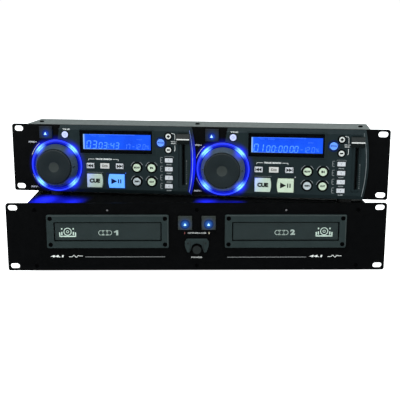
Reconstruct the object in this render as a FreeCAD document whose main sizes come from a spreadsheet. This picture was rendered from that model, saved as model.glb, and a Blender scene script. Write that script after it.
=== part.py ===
import FreeCAD, Part
import math
import os
import Sketcher

# Dual disc player for rack use: a 2U transport unit with two motorised disc
# trays, and the 2U control unit that belongs to it standing on its top cover.
#
# Frame: +X to the right seen from the front, +Y to the back, +Z up.  The
# origin is the bottom centre of the whole object's box, on the surface that
# the transport unit's rubber feet stand on.  Millimetres and degrees.
#
# Two local frames are used for the dimensions below:
#   player   origin at the middle of the transport panel's front face, at its
#            lower edge, with the row's own axes
#   control  the same point on the control unit's panel, turned by ctl_yaw
#            about Z, because the control unit stands askew on the cover
# A deck is one half of the control unit; its x dimensions run from the axis
# of its jog wheel.

VALUES = {}
V = FreeCAD.Vector
doc = FreeCAD.newDocument("dual_disc_player")
sheet = doc.addObject("Spreadsheet::Sheet", "dims")


class Dim:
    """A dimension or a formula of dimensions: its value and its expression."""

    def __init__(self, value, text):
        self.value = float(value)
        self.text = text

    def __add__(self, other):
        o = dim(other)
        return Dim(self.value + o.value, "(%s + %s)" % (self.text, o.text))

    def __radd__(self, other):
        return dim(other) + self

    def __sub__(self, other):
        o = dim(other)
        return Dim(self.value - o.value, "(%s - %s)" % (self.text, o.text))

    def __rsub__(self, other):
        return dim(other) - self

    def __mul__(self, other):
        o = dim(other)
        return Dim(self.value * o.value, "(%s * %s)" % (self.text, o.text))

    def __rmul__(self, other):
        return dim(other) * self

    def __truediv__(self, other):
        o = dim(other)
        return Dim(self.value / o.value, "(%s / %s)" % (self.text, o.text))

    def __neg__(self):
        return Dim(-self.value, "(0 - %s)" % self.text)


def dim(x):
    if isinstance(x, Dim):
        return x
    return Dim(x, repr(round(float(x), 6)))


def cosine(a):
    return Dim(math.cos(math.radians(a.value)), "cos(%s)" % a.text)


def sine(a):
    return Dim(math.sin(math.radians(a.value)), "sin(%s)" % a.text)


class Sizes:
    def __getattr__(self, name):
        return Dim(VALUES[name], "dims." + name)


D = Sizes()


def table(title, rows):
    """Writes one block of named dimensions to the sheet."""
    row = table.row
    sheet.set("A%d" % row, title)
    row += 1
    for name, value, note in rows:
        sheet.set("A%d" % row, name)
        sheet.set("B%d" % row, repr(value))
        sheet.set("C%d" % row, note)
        sheet.setAlias("B%d" % row, name)
        VALUES[name] = float(value)
        row += 1
    table.row = row + 1


table.row = 1

table("Placement", [
    ("panel_front", -115.119, "Y of the transport panel's front face"),
    ("stand", 8.0, "height of the transport panel's lower edge above the feet"),
    ("ctl_yaw", 7.855, "turn of the control unit, clockwise seen from above"),
    ("ctl_x", -1.198, "control panel's middle, X in the player frame"),
    ("ctl_y", 21.215, "control panel's middle, Y in the player frame"),
    ("ctl_z", 94.265, "control panel's lower edge, Z in the player frame"),
])
table("Rack panels, both units", [
    ("panel_w", 482.6, "19 inch"),
    ("panel_high", 88.1, "2 rack units less the gap"),
    ("panel_thk", 3.0, ""),
    ("panel_corner", 3.0, ""),
    ("slot_span", 465.1, "slot centre to slot centre across"),
    ("slot_rise", 76.2, "slot centre to slot centre upward"),
    ("slot_len", 12.0, "slot end to end"),
    ("slot_wide", 7.0, ""),
])
table("Transport unit casing", [
    ("box_half", 217.3, "half width over the cover"),
    ("box_top", 86.0, ""),
    ("box_bottom", 2.0, ""),
    ("box_rear", 243.0, "outer face of the rear wall"),
    ("sheet_thk", 1.2, "chassis steel"),
    ("cover_thk", 1.0, "cover steel"),
    ("flange_rise", 14.0, "low side flanges of the chassis"),
    ("foot_r", 17.0, ""),
    ("foot_x", 180.0, ""),
    ("foot_front", 46.0, ""),
    ("foot_back", 212.0, ""),
])
table("Drives", [
    ("drive_x", 113.0, "tray centre from the middle"),
    ("bezel_w", 154.7, ""),
    ("bezel_high", 43.4, ""),
    ("bezel_z", 51.85, "bezel centre"),
    ("bezel_thk", 3.0, ""),
    ("mouth_w", 136.6, "opening in the bezel"),
    ("mouth_high", 25.1, ""),
    ("mouth_z", 51.65, "opening centre"),
    ("bezel_screw_x", 72.6, ""),
    ("bezel_screw_low", 34.8, ""),
    ("bezel_screw_top", 68.7, ""),
    ("door_gap", 1.35, "gap around the tray door"),
    ("door_front", 1.6, "door face ahead of the panel face"),
    ("door_thk", 3.4, ""),
    ("tray_w", 129.0, ""),
    ("tray_rear", 186.0, ""),
    ("tray_low", 44.0, ""),
    ("tray_thk", 5.5, ""),
    ("disc_y", 75.0, "disc centre behind the panel face"),
    ("disc_r", 60.8, "recess for a 120 mm disc"),
    ("disc_small_r", 40.8, "recess for an 80 mm disc"),
    ("rail_in", 61.5, ""),
    ("rail_out", 69.0, ""),
    ("rail_low", 36.0, ""),
    ("rail_top", 56.0, ""),
    ("rail_front", 8.0, ""),
    ("rail_rear", 196.0, ""),
])
table("Transport front controls", [
    ("open_x", 15.0, "open key from the middle"),
    ("open_z", 62.6, ""),
    ("open_w", 17.8, ""),
    ("open_high", 18.0, ""),
    ("open_front", 1.5, ""),
    ("power_z", 28.4, ""),
    ("power_r", 6.3, ""),
    ("power_front", 6.0, ""),
    ("lamp_x", 113.2, ""),
    ("lamp_z", 79.0, ""),
    ("lamp_r", 1.2, ""),
    ("trim_thk", 2.6, "moulding around the power button"),
    ("trim_arch_r", 7.3, ""),
])
table("Rear sockets of the transport unit", [
    ("phono_out", 9.0, "length of the phono barrels behind the wall"),
    ("inlet_x", 176.0, ""), ("inlet_z", 36.0, ""), ("inlet_w", 27.0, ""), ("inlet_high", 19.8, ""),
    ("inlet_rim", 2.4, "flange behind the wall"), ("inlet_deep", 15.4, "depth of the cavity"),
])
table("Control unit casing", [
    ("case_half", 220.8, ""),
    ("case_mid", -3.4, "middle of the casing from the middle of the panel"),
    ("case_top", 87.2, ""),
    ("case_bottom", 2.0, ""),
    ("case_rear", 68.0, ""),
    ("case_thk", 1.2, ""),
    ("stand_r", 8.0, "rubber feet of the control unit"),
    ("stand_x", 190.0, ""),
    ("stand_front", 20.0, ""),
    ("stand_back", 55.0, ""),
    ("lid_screw_left", -212.5, ""), ("lid_screw_mid", -2.2, ""), ("lid_screw_right", 207.3, ""), ("lid_screw_y", 35.0, ""),
])
table("Decks", [
    ("deck_one", -181.1, "jog axis of deck 1"),
    ("deck_two", 35.4, "jog axis of deck 2"),
    ("jog_z", 35.3, ""),
    ("ring_r", 34.4, "lit ring"),
    ("ring_bore", 28.5, ""),
    ("ring_front", 6.0, ""),
    ("shuttle_r", 28.0, ""),
    ("shuttle_lip", 23.3, ""),
    ("shuttle_front", 17.0, ""),
    ("jog_r", 22.3, ""),
    ("jog_front", 19.5, ""),
    ("hub_r", 8.0, "jog hub"),
    ("sleeve_r", 12.0, "shuttle hub"),
    ("shaft_r", 3.0, ""),
    ("fit", 0.05, "radial running clearance"),
    ("fascia_front", 6.0, ""),
    ("fascia_wall", 3.2, "front wall of the moulding"),
    ("fascia_low", 0.4, ""),
    ("fascia_top", 87.7, ""),
    ("fascia_right", 175.6, "ends of the curved side"),
    ("fascia_bulge", 189.0, "radius of the curved side"),
    ("fascia_bevel", 4.4, ""),
    ("fascia_bevel_deep", 5.2, ""),
    ("key_gap", 0.35, "gap around every key"),
    ("board_front", 9.0, "front of the key board"),
    ("board_thk", 1.6, ""),
    ("switch_front", 5.5, "front of the key switches"),
    ("key_end", 4.9, "rear end of the key stems"),
])
table("Display", [
    ("lens_left", 31.5, ""),
    ("lens_right", 126.0, ""),
    ("lens_low", 52.3, ""),
    ("lens_top", 82.2, ""),
    ("glass_left", 35.5, ""),
    ("glass_right", 123.9, ""),
    ("glass_low", 56.6, ""),
    ("glass_top", 77.6, ""),
    ("lens_front", 5.2, ""),
    ("glass_front", 3.2, ""),
    ("rim_front", 6.6, ""),
])
table("Keys: x from the jog axis, z, width, height", [
    ("eject_x", -14.6, ""), ("eject_z", 77.8, ""), ("eject_w", 17.0, ""), ("eject_high", 15.8, ""), ("eject_front", 2.4, ""),
    ("time_x", 12.5, ""), ("time_z", 76.1, ""), ("time_r", 4.6, ""),
    ("row_z", 36.4, ""), ("row_high", 7.2, ""),
    ("back_x", 45.1, ""), ("back_w", 10.2, ""),
    ("folder_x", 64.05, ""), ("folder_w", 12.1, ""),
    ("skip_x", 83.4, ""), ("skip_w", 10.0, ""),
    ("cue_left", 40.4, ""), ("cue_right", 61.1, ""),
    ("play_left", 68.3, ""), ("play_right", 89.3, ""),
    ("cue_low", 8.0, ""), ("cue_top", 25.55, ""), ("cue_bow", 1.4, "bulge of the curved side"),
    ("loop_left", 105.9, ""), ("loop_right", 125.1, ""), ("loop_top", 35.1, ""), ("loop_low", 17.0, ""), ("loop_r", 5.4, ""),
    ("pitch_x", 137.1, ""), ("pitch_z", 67.7, ""), ("pitch_r", 5.25, ""),
    ("bend_x", 146.9, ""), ("bend_up", 75.9, ""), ("bend_down", 58.7, ""), ("bend_r", 3.7, ""),
    ("bank_x", 147.35, ""), ("bank_w", 10.1, ""), ("bank_high", 5.7, ""),
    ("bank_a", 45.4, ""), ("bank_b", 34.1, ""), ("bank_c", 22.8, ""), ("bank_d", 11.8, ""),
    ("small_front", 7.2, "face of the small keys"), ("big_front", 8.2, "face of cue and play"), ("round_front", 7.6, ""),
    ("lip", 1.0, "retaining flange beyond the key"), ("lip_front", 2.3, ""), ("lip_thk", 1.1, ""),
])
table("Pitch fader", [
    ("fader_x", 165.6, "slot"), ("fader_slot_w", 2.4, ""), ("fader_slot_low", 13.2, ""), ("fader_slot_top", 76.8, ""),
    ("channel_left", 159.5, ""), ("channel_right", 170.4, ""), ("channel_low", 9.5, ""), ("channel_top", 80.5, ""), ("channel_deep", 1.4, ""),
    ("cap_x", 166.35, ""), ("cap_z", 73.0, ""), ("cap_w", 16.7, ""), ("cap_high", 13.6, ""), ("cap_front", 14.4, ""), ("cap_back", 6.5, ""),
    ("lever_w", 1.6, ""), ("lever_high", 6.0, ""),
])
doc.recompute()

# ---------------------------------------------------------------- drawing aids


def plane(body, role):
    for f in body.Origin.OriginFeatures:
        if f.Role == role:
            return f
    raise RuntimeError("no " + role)


def bind(obj, prop, d):
    d = dim(d)
    if "dims." in d.text:
        obj.setExpression(prop, d.text)
    return d.value


def place(obj, where, x, y, z):
    """Puts obj's origin at a point of the player or the control frame."""
    x, y, z = dim(x), dim(y), dim(z)
    if where == "control":
        c, s = cosine(D.ctl_yaw), sine(D.ctl_yaw)
        px = D.ctl_x + c * x + s * y
        py = D.panel_front + D.ctl_y - s * x + c * y
        pz = D.stand + D.ctl_z + z
        rotation = FreeCAD.Rotation(V(0, 0, -1), VALUES["ctl_yaw"])
    else:
        px, py, pz = x, D.panel_front + y, D.stand + z
        rotation = FreeCAD.Rotation()
    obj.Placement = FreeCAD.Placement(V(px.value, py.value, pz.value), rotation)
    obj.setExpression("Placement.Base.x", px.text)
    obj.setExpression("Placement.Base.y", py.text)
    obj.setExpression("Placement.Base.z", pz.text)
    if where == "control":
        obj.setExpression("Placement.Rotation.Angle", "dims.ctl_yaw")


BODIES = []


def body(label, where="player", x=0, y=0, z=0):
    b = doc.addObject("PartDesign::Body", label)
    b.Label = label
    place(b, where, x, y, z)
    BODIES.append(b)
    return b


class Drawing:
    """A sketch on one of a body's own origin planes.

    front: XZ plane, moved forward (towards -Y) by offset
    top:   XY plane, raised by offset
    side:  YZ plane, moved towards +X by offset
    """

    PLANES = {"front": "XZ_Plane", "top": "XY_Plane", "side": "YZ_Plane"}

    def __init__(self, b, view, offset, name):
        self.sk = b.newObject("Sketcher::SketchObject", name)
        self.sk.AttachmentSupport = [(plane(b, self.PLANES[view]), "")]
        self.sk.MapMode = "FlatFace"
        o = dim(offset)
        self.sk.AttachmentOffset = FreeCAD.Placement(V(0, 0, o.value), FreeCAD.Rotation())
        if "dims." in o.text:
            self.sk.setExpression("AttachmentOffset.Base.z", o.text)
        self.n = 0

    def drive(self, kind, args, d, tag):
        d = dim(d)
        i = self.sk.addConstraint(Sketcher.Constraint(kind, *args, d.value))
        self.n += 1
        if "dims." in d.text:
            name = "%s_%d" % (tag, self.n)
            self.sk.renameConstraint(i, name)
            self.sk.setExpression("Constraints." + name, d.text)

    def at(self, geo, pos, x, z, tag):
        """Ties one point of the sketch to its origin."""
        for kind, d in (("DistanceX", dim(x)), ("DistanceY", dim(z))):
            if abs(d.value) < 1e-9 and "dims." not in d.text:
                self.sk.addConstraint(Sketcher.Constraint("PointOnObject", geo, pos, -2 if kind == "DistanceX" else -1))
            else:
                self.drive(kind, (-1, 1, geo, pos), d, tag)

    def rect(self, x, z, w, h, r=None, tag="rect"):
        """Rectangle with its centre at x, z, with round corners if r is given."""
        x, z, w, h = dim(x), dim(z), dim(w), dim(h)
        left, low = x - w / 2, z - h / 2
        l, b, t, u = left.value, low.value, (left + w).value, (low + h).value
        sk, C, g = self.sk, Sketcher.Constraint, self.sk.GeometryCount
        if r is None:
            p = [V(l, b, 0), V(t, b, 0), V(t, u, 0), V(l, u, 0)]
            for i in range(4):
                sk.addGeometry(Part.LineSegment(p[i], p[(i + 1) % 4]), False)
            sk.addConstraint([C("Coincident", g + i, 2, g + (i + 1) % 4, 1) for i in range(4)]
                             + [C("Horizontal", g), C("Vertical", g + 1), C("Horizontal", g + 2), C("Vertical", g + 3)])
            self.at(g, 1, left, low, tag)
            self.drive("DistanceX", (g, 1, g, 2), w, tag)
            self.drive("DistanceY", (g + 1, 1, g + 1, 2), h, tag)
            return
        r = dim(r)
        q, up = r.value, V(0, 0, 1)
        half = math.pi / 2

        def arc(cx, cz, a):
            return Part.ArcOfCircle(Part.Circle(V(cx, cz, 0), up, q), a, a + half)

        sk.addGeometry([
            Part.LineSegment(V(l + q, b, 0), V(t - q, b, 0)), arc(t - q, b + q, -half),
            Part.LineSegment(V(t, b + q, 0), V(t, u - q, 0)), arc(t - q, u - q, 0),
            Part.LineSegment(V(t - q, u, 0), V(l + q, u, 0)), arc(l + q, u - q, half),
            Part.LineSegment(V(l, u - q, 0), V(l, b + q, 0)), arc(l + q, b + q, 2 * half)], False)
        sk.addConstraint([C("Tangent", g + i, 2, g + (i + 1) % 8, 1) for i in range(8)]
                         + [C("Horizontal", g), C("Vertical", g + 2), C("Horizontal", g + 4), C("Vertical", g + 6),
                            C("Equal", g + 1, g + 3), C("Equal", g + 1, g + 5), C("Equal", g + 1, g + 7)])
        self.drive("Radius", (g + 1,), r, tag)
        self.at(g, 1, left + r, low, tag)
        self.drive("DistanceX", (g, 1, g, 2), w - 2 * r, tag)
        self.drive("DistanceY", (g + 2, 1, g + 2, 2), h - 2 * r, tag)

    def slot(self, x, z, length, wide, tag="slot"):
        """Level slot with round ends, length measured over the ends."""
        x, z, length, wide = dim(x), dim(z), dim(length), dim(wide)
        r, run = wide / 2, length - wide
        a, c, q = (x - run / 2).value, z.value, r.value
        e = a + run.value
        sk, C, g = self.sk, Sketcher.Constraint, self.sk.GeometryCount
        half, up = math.pi / 2, V(0, 0, 1)
        sk.addGeometry([
            Part.LineSegment(V(a, c - q, 0), V(e, c - q, 0)),
            Part.ArcOfCircle(Part.Circle(V(e, c, 0), up, q), -half, half),
            Part.LineSegment(V(e, c + q, 0), V(a, c + q, 0)),
            Part.ArcOfCircle(Part.Circle(V(a, c, 0), up, q), half, 3 * half)], False)
        sk.addConstraint([C("Tangent", g + i, 2, g + (i + 1) % 4, 1) for i in range(4)]
                         + [C("Horizontal", g), C("Equal", g + 1, g + 3)])
        self.drive("Radius", (g + 1,), r, tag)
        self.at(g + 3, 3, x - run / 2, z, tag)
        self.drive("DistanceX", (g, 1, g, 2), run, tag)

    def circle(self, x, z, r, tag="circle"):
        x, z, r = dim(x), dim(z), dim(r)
        g = self.sk.addGeometry(Part.Circle(V(x.value, z.value, 0), V(0, 0, 1), r.value), False)
        self.at(g, 3, x, z, tag)
        self.drive("Radius", (g,), r, tag)

    def outline(self, points, tag="outline"):
        """Closed outline.  Each point is (x, z), or (x, z, radius, bulge side)
        when the edge that leaves it is an arc: side is +1 if the arc bulges to
        the right of the way round, -1 if to the left."""
        pts = [(dim(p[0]), dim(p[1])) + tuple(p[2:]) for p in points]
        sk, C, g, n = self.sk, Sketcher.Constraint, self.sk.GeometryCount, len(pts)
        flipped = []
        for i, p in enumerate(pts):
            q = pts[(i + 1) % n]
            a, b = V(p[0].value, p[1].value, 0), V(q[0].value, q[1].value, 0)
            if len(p) == 2:
                sk.addGeometry(Part.LineSegment(a, b), False)
                flipped.append(False)
                continue
            r, side = dim(p[2]).value, p[3]
            chord = b - a
            right = V(chord.y, -chord.x, 0).normalize()
            deep = math.sqrt(max(r * r - (chord.Length / 2) ** 2, 0))
            if len(p) > 4 and p[4]:
                deep = -deep
            c = (a + b) * 0.5 - right * (deep * side)
            first, last = (a, b) if side > 0 else (b, a)
            a0 = math.atan2(first.y - c.y, first.x - c.x)
            a1 = math.atan2(last.y - c.y, last.x - c.x)
            if a1 <= a0:
                a1 += 2 * math.pi
            sk.addGeometry(Part.ArcOfCircle(Part.Circle(c, V(0, 0, 1), r), a0, a1), False)
            flipped.append(side < 0)
        for i in range(n):
            j = (i + 1) % n
            sk.addConstraint(C("Coincident", g + i, 1 if flipped[i] else 2, g + j, 2 if flipped[j] else 1))
        for i, p in enumerate(pts):
            self.at(g + i, 2 if flipped[i] else 1, p[0], p[1], tag)
            if len(p) > 2:
                self.drive("Radius", (g + i,), p[2], tag)


def pad(b, sketch, length, back=True, name="Pad"):
    """Extrudes a sketch: backwards (+Y) from a front view, or up from a top view."""
    f = b.newObject("PartDesign::Pad", name)
    f.Profile = sketch.sk
    f.Length = bind_later(f, "Length", length)
    f.Reversed = bool(back)
    sketch.sk.Visibility = False
    return f


def bind_later(obj, prop, d):
    d = dim(d)
    if "dims." in d.text:
        obj.setExpression(prop, d.text)
    return d.value


def pocket(b, sketch, length=None, name="Pocket", other=False):
    """Cuts a sketch backwards (+Y) from a front view, or down from a top view,
    through all when no depth is given."""
    f = b.newObject("PartDesign::Pocket", name)
    f.Profile = sketch.sk
    if length is None:
        f.Type = "ThroughAll"
    else:
        f.Length = bind_later(f, "Length", length)
    f.Reversed = bool(other)
    return f


def front_edges(shape, y, tol=1e-4, also=None):
    """Names of the edges that lie in the plane y of the body's own frame."""
    out = []
    for i, e in enumerate(shape.Edges):
        box = e.BoundBox
        if abs(box.YMin - y) < tol and abs(box.YMax - y) < tol and (also is None or also(e)):
            out.append("Edge%d" % (i + 1))
    return out


def dress(b, kind, names, size, name):
    base = b.Tip
    f = b.newObject("PartDesign::" + kind, name)
    f.Base = (base, names)
    if kind == "Fillet":
        f.Radius = bind_later(f, "Radius", size)
    else:
        f.Size = bind_later(f, "Size", size)
    return f


def local_shape(b):
    """The shape of the body's last feature in the body's own frame."""
    doc.recompute()
    return b.Tip.Shape


NODES = {}


def keep(label, obj):
    """Names the object that is written out as one node."""
    obj.Label = label
    NODES[label] = obj
    return obj


def group(label, members):
    """Several separate solids under one label."""
    c = doc.addObject("Part::Compound", label)
    c.Links = members
    return keep(label, c)


def twin(source, name, where, x, y, z):
    """A second piece of the same shape at another place."""
    link = doc.addObject("App::Link", name)
    link.LinkedObject = source
    link.LinkTransform = False
    place(link, where, x, y, z)
    return link


def turned(b, outline, name, offset=0, axis_view="side"):
    """Revolves an outline about the body's Y axis.  The sketch is on the YZ
    plane, so its first number is the distance back (Y) and its second is the
    radius (along Z)."""
    s = Drawing(b, axis_view, offset, name + "_section")
    s.outline(outline)
    f = b.newObject("PartDesign::Revolution", name)
    f.Profile = s.sk
    f.ReferenceAxis = (s.sk, ["H_Axis"])
    f.Angle = 360
    s.sk.Visibility = False
    return f


def screw(name, where, x, y, z, head_r, head_deep, shank_r, reach, countersunk=False):
    """A machine screw facing forward: head face at y = 0 of its own frame."""
    b = body(name, where, x, y, z)
    if countersunk:
        turned(b, [(0, 0), (0, head_r), (head_deep, shank_r), (reach, shank_r), (reach, 0)], "Turning")
    else:
        turned(b, [(0, 0), (0, head_r), (head_deep, head_r), (head_deep, shank_r), (reach, shank_r), (reach, 0)], "Turning")
    s = Drawing(b, "front", 0, "recess")
    arm = head_r * 0.62
    s.outline([(-0.35, -arm), (0.35, -arm), (0.35, -0.35), (arm, -0.35), (arm, 0.35), (0.35, 0.35),
               (0.35, arm), (-0.35, arm), (-0.35, 0.35), (-arm, 0.35), (-arm, -0.35), (-0.35, -0.35)])
    pocket(b, s, head_deep * 0.6)
    return b


PX, PZ = D.slot_span / 2, D.panel_high / 2


def rack_panel(label, where):
    b = body(label, where)
    s = Drawing(b, "front", 0, "plate")
    s.rect(0, PZ, D.panel_w, D.panel_high, D.panel_corner)
    pad(b, s, D.panel_thk)
    s = Drawing(b, "front", 0, "rack_slots")
    for sx in (-1, 1):
        for sz in (-1, 1):
            s.slot(sx * PX, PZ + sz * D.slot_rise / 2, D.slot_len, D.slot_wide)
    pocket(b, s, None, "RackSlots")
    return b


# --------------------------------------------------------- transport unit: shell

FACE_SCREWS = ((-205, 79.3), (-205, 6.2), (0, 79.3), (0, 6.2), (205, 79.3), (205, 6.2))

panel = rack_panel("player_front_panel", "player")
s = Drawing(panel, "front", 0, "mouths")
for side in (-1, 1):
    s.rect(side * D.drive_x, D.mouth_z, D.mouth_w + 2, D.mouth_high + 2, 1)
    s.rect(side * D.open_x, D.open_z, D.open_w + 0.6, D.open_high + 0.6)
    s.circle(side * D.lamp_x, D.lamp_z, D.lamp_r + 0.05)
    for sx in (-1, 1):
        for z in (D.bezel_screw_low, D.bezel_screw_top):
            s.circle(side * D.drive_x + sx * D.bezel_screw_x, z, 1.55)
s.circle(0, D.power_z, D.power_r + 0.4)
for x, z in FACE_SCREWS:
    s.circle(x, z, 1.6)
pocket(panel, s, None, "Openings")
s = Drawing(panel, "front", 0, "screw_seats")
for x, z in FACE_SCREWS:
    s.circle(x, z, 2.8)
pocket(panel, s, 1.2, "ScrewSeats")
keep("player_front_panel", panel)

# folded steel tray: floor, rear wall, front flange behind the panel, low sides
chassis = body("player_chassis")
inner = D.box_half - D.cover_thk - 0.2
s = Drawing(chassis, "top", D.box_bottom, "floor")
s.rect(0, D.panel_thk + (D.box_rear - D.panel_thk) / 2, inner * 2, D.box_rear - D.panel_thk)
pad(chassis, s, D.sheet_thk, back=False, name="Floor")
s = Drawing(chassis, "front", -D.panel_thk, "front_flange")
s.rect(0, (D.box_top - D.cover_thk + D.box_bottom) / 2 - 0.1, inner * 2, D.box_top - D.cover_thk - D.box_bottom - 0.2)
pad(chassis, s, D.sheet_thk, name="FrontFlange")
s = Drawing(chassis, "front", -(D.box_rear - D.sheet_thk), "rear_wall")
s.rect(0, (D.box_top - D.cover_thk + D.box_bottom) / 2 - 0.1, inner * 2, D.box_top - D.cover_thk - D.box_bottom - 0.2)
pad(chassis, s, D.sheet_thk, name="RearWall")
s = Drawing(chassis, "top", D.box_bottom, "side_flanges")
for side in (-1, 1):
    s.rect(side * (inner - D.sheet_thk / 2), D.panel_thk + (D.box_rear - D.panel_thk) / 2, D.sheet_thk, D.box_rear - D.panel_thk)
pad(chassis, s, D.flange_rise, back=False, name="SideFlanges")
s = Drawing(chassis, "top", D.box_bottom, "standoffs")
BOARD_POSTS = [(sx * x, y) for sx in (-1, 1) for x in (62, 160) for y in (34, 170)] + [(sx * 30, y) for sx in (-1, 1) for y in (70, 192)] \
    + [(sx * x, 226) for sx in (-1, 1) for x in (60, 150)]
for x, y in BOARD_POSTS:
    s.circle(x, y, 3)
pad(chassis, s, 6.2, back=False, name="Standoffs")
s = Drawing(chassis, "front", -D.panel_thk, "front_cutouts")
for side in (-1, 1):
    s.rect(side * D.drive_x, D.mouth_z, D.mouth_w + 5, D.mouth_high + 6, 2)
    s.circle(side * D.lamp_x, D.lamp_z, 3)
    for sx in (-1, 1):
        for z in (D.bezel_screw_low, D.bezel_screw_top):
            s.circle(side * D.drive_x + sx * D.bezel_screw_x, z, 1.55)
s.rect(0, 46.5, 60, 60, 2)
for x, z in FACE_SCREWS:
    s.circle(x, z, 1.6)
pocket(chassis, s, 5, "FrontCutouts")
REAR_PHONO = ((-118, 26), (-118, 46), (-94, 26), (-94, 46), (94, 26), (94, 46), (118, 26), (118, 46))
LINK_X, LINK_Z = (-24, 24), 36
s = Drawing(chassis, "front", -(D.box_rear - 5), "rear_cutouts")
for x, z in REAR_PHONO:
    s.circle(x, z, 4.4)
for x in LINK_X:
    s.circle(x, LINK_Z, 7.2)
s.rect(D.inlet_x, D.inlet_z, D.inlet_w + 0.6, D.inlet_high + 0.6, 3)
for i in range(6):
    s.slot(-176, 24 + 7 * i, 34, 3)
pocket(chassis, s, None, "RearCutouts")
s = Drawing(chassis, "side", -(D.box_half + 5), "side_threads")
for y in (30, 120, 225):
    s.circle(y, 9, 1.3)
pocket(chassis, s, None, "SideThreads", other=True)
keep("player_chassis", chassis)

# folded cover: top and both sides
cover = body("player_top_cover")
s = Drawing(cover, "front", -(D.panel_thk + 0.05), "section")
top, low, out, thin = D.box_top, D.box_bottom + 0.4, D.box_half, D.cover_thk
bend = 2.0
s.outline([(-out, low), (-out + thin, low), (-out + thin, top - thin), (out - thin, top - thin), (out - thin, low), (out, low),
           (out, top - bend, bend, 1), (out - bend, top), (-out + bend, top, bend, 1), (-out, top - bend)])
pad(cover, s, D.box_rear - D.panel_thk - 0.05, name="Folded")
s = Drawing(cover, "side", -(D.box_half + 5), "side_holes")
for y in (30, 120, 225):
    s.circle(y, 9, 1.7)
pocket(cover, s, None, "SideHoles", other=True)
keep("player_top_cover", cover)


def lathe(b, outline, name):
    """Revolves an outline of (radius, height) points about the body's Z axis."""
    s = Drawing(b, "front", 0, name + "_section")
    s.outline(outline)
    f = b.newObject("PartDesign::Revolution", name)
    f.Profile = s.sk
    f.ReferenceAxis = (s.sk, ["V_Axis"])
    f.Angle = 360
    s.sk.Visibility = False
    return f


# frames screwed over the two mouths, and the moulding around the power button
bezel = body("bezel_left", "player", -D.drive_x)
s = Drawing(bezel, "front", D.bezel_thk, "frame")
s.rect(0, D.bezel_z, D.bezel_w, D.bezel_high, 2)
pad(bezel, s, D.bezel_thk)
dress(bezel, "Fillet", front_edges(local_shape(bezel), -VALUES["bezel_thk"]), 0.8, "SoftEdge")
s = Drawing(bezel, "front", D.bezel_thk, "mouth")
s.rect(0, D.mouth_z, D.mouth_w, D.mouth_high, 0.8)
for sx in (-1, 1):
    for z in (D.bezel_screw_low, D.bezel_screw_top):
        s.circle(sx * D.bezel_screw_x, z, 1.6)
pocket(bezel, s, None, "Mouth")
s = Drawing(bezel, "front", D.bezel_thk, "seats")
for sx in (-1, 1):
    for z in (D.bezel_screw_low, D.bezel_screw_top):
        s.circle(sx * D.bezel_screw_x, z, 2.9)
pocket(bezel, s, 1.9, "Seats")
bezel_right = twin(bezel, "bezel_right", "player", D.drive_x, 0, 0)

trim = body("power_moulding", "player", 0, 0, D.power_z)
s = Drawing(trim, "front", D.trim_thk, "shield")
s.outline([(-12.6, 13.6), (-15.3, 9.6), (-15.1, 3.2), (-12.2, -4.2), (-9.6, -4.6), (-D.trim_arch_r, 0),
           (-D.trim_arch_r * 0.8, D.trim_arch_r * 0.6, D.trim_arch_r, -1), (D.trim_arch_r * 0.8, D.trim_arch_r * 0.6), (D.trim_arch_r, 0), (9.6, -4.6),
           (12.2, -4.2), (15.1, 3.2), (15.3, 9.6), (12.6, 13.6)])
pad(trim, s, D.trim_thk)
dress(trim, "Fillet", front_edges(local_shape(trim), -VALUES["trim_thk"]), 0.7, "SoftEdge")
group("drive_bezels", [bezel, bezel_right, trim])

# ------------------------------------------------------------- disc trays, drives

for n, side in ((1, -1), (2, 1)):
    tray = body("disc_tray_%d" % n, "player", side * D.drive_x)
    s = Drawing(tray, "front", D.door_front, "door")
    s.rect(0, D.mouth_z, D.mouth_w - 2 * D.door_gap, D.mouth_high - 2 * D.door_gap, 0.6)
    pad(tray, s, D.door_thk, name="Door")
    dress(tray, "Fillet", front_edges(local_shape(tray), -VALUES["door_front"]), 0.4, "DoorEdge")
    s = Drawing(tray, "top", D.tray_low, "plate")
    s.rect(0, 1.2 + (D.tray_rear - 1.2) / 2, D.tray_w, D.tray_rear - 1.2)
    pad(tray, s, D.tray_thk, back=False, name="Plate")
    s = Drawing(tray, "top", D.tray_low + D.tray_thk, "disc_seat")
    s.circle(0, D.disc_y, D.disc_r)
    pocket(tray, s, 2.2, "DiscSeat")
    s = Drawing(tray, "top", D.tray_low + D.tray_thk, "small_disc_seat")
    s.circle(0, D.disc_y, D.disc_small_r)
    pocket(tray, s, 3.4, "SmallDiscSeat")
    s = Drawing(tray, "top", D.tray_low + D.tray_thk, "turntable_slot")
    s.rect(0, 102, 38, 92, 18.5)
    pocket(tray, s, None, "TurntableSlot")
    keep("disc_tray_%d" % n, tray)

DRIVE = []


def inside(name, z=0, y=0):
    """A piece of the left drive; its right-hand twin is made with the rest."""
    b = body(name, "player", -D.drive_x, y, z)
    DRIVE.append((b, y, z))
    return b


loader = inside("loader_frame")
s = Drawing(loader, "top", D.rail_low, "rails")
for side in (-1, 1):
    s.rect(side * (D.rail_in + D.rail_out) / 2, (D.rail_front + D.rail_rear) / 2, D.rail_out - D.rail_in, D.rail_rear - D.rail_front)
pad(loader, s, D.rail_top - D.rail_low, back=False, name="Rails")
s = Drawing(loader, "top", D.rail_low, "deck")
s.rect(0, (D.rail_front + D.rail_rear) / 2, D.rail_in * 2 + 1, D.rail_rear - D.rail_front)
s.rect(0, 88, 72, 128, 4)
pad(loader, s, 3, back=False, name="Deck")
s = Drawing(loader, "front", 0, "grooves")
for side in (-1, 1):
    s.rect(side * (D.rail_in - 1 + D.tray_w / 2 + 0.5) / 2, D.tray_low + D.tray_thk / 2, D.tray_w / 2 + 0.5 - D.rail_in + 1, D.tray_thk + 1)
pocket(loader, s, None, "Grooves")
s = Drawing(loader, "top", D.box_bottom + D.sheet_thk, "legs")
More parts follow.
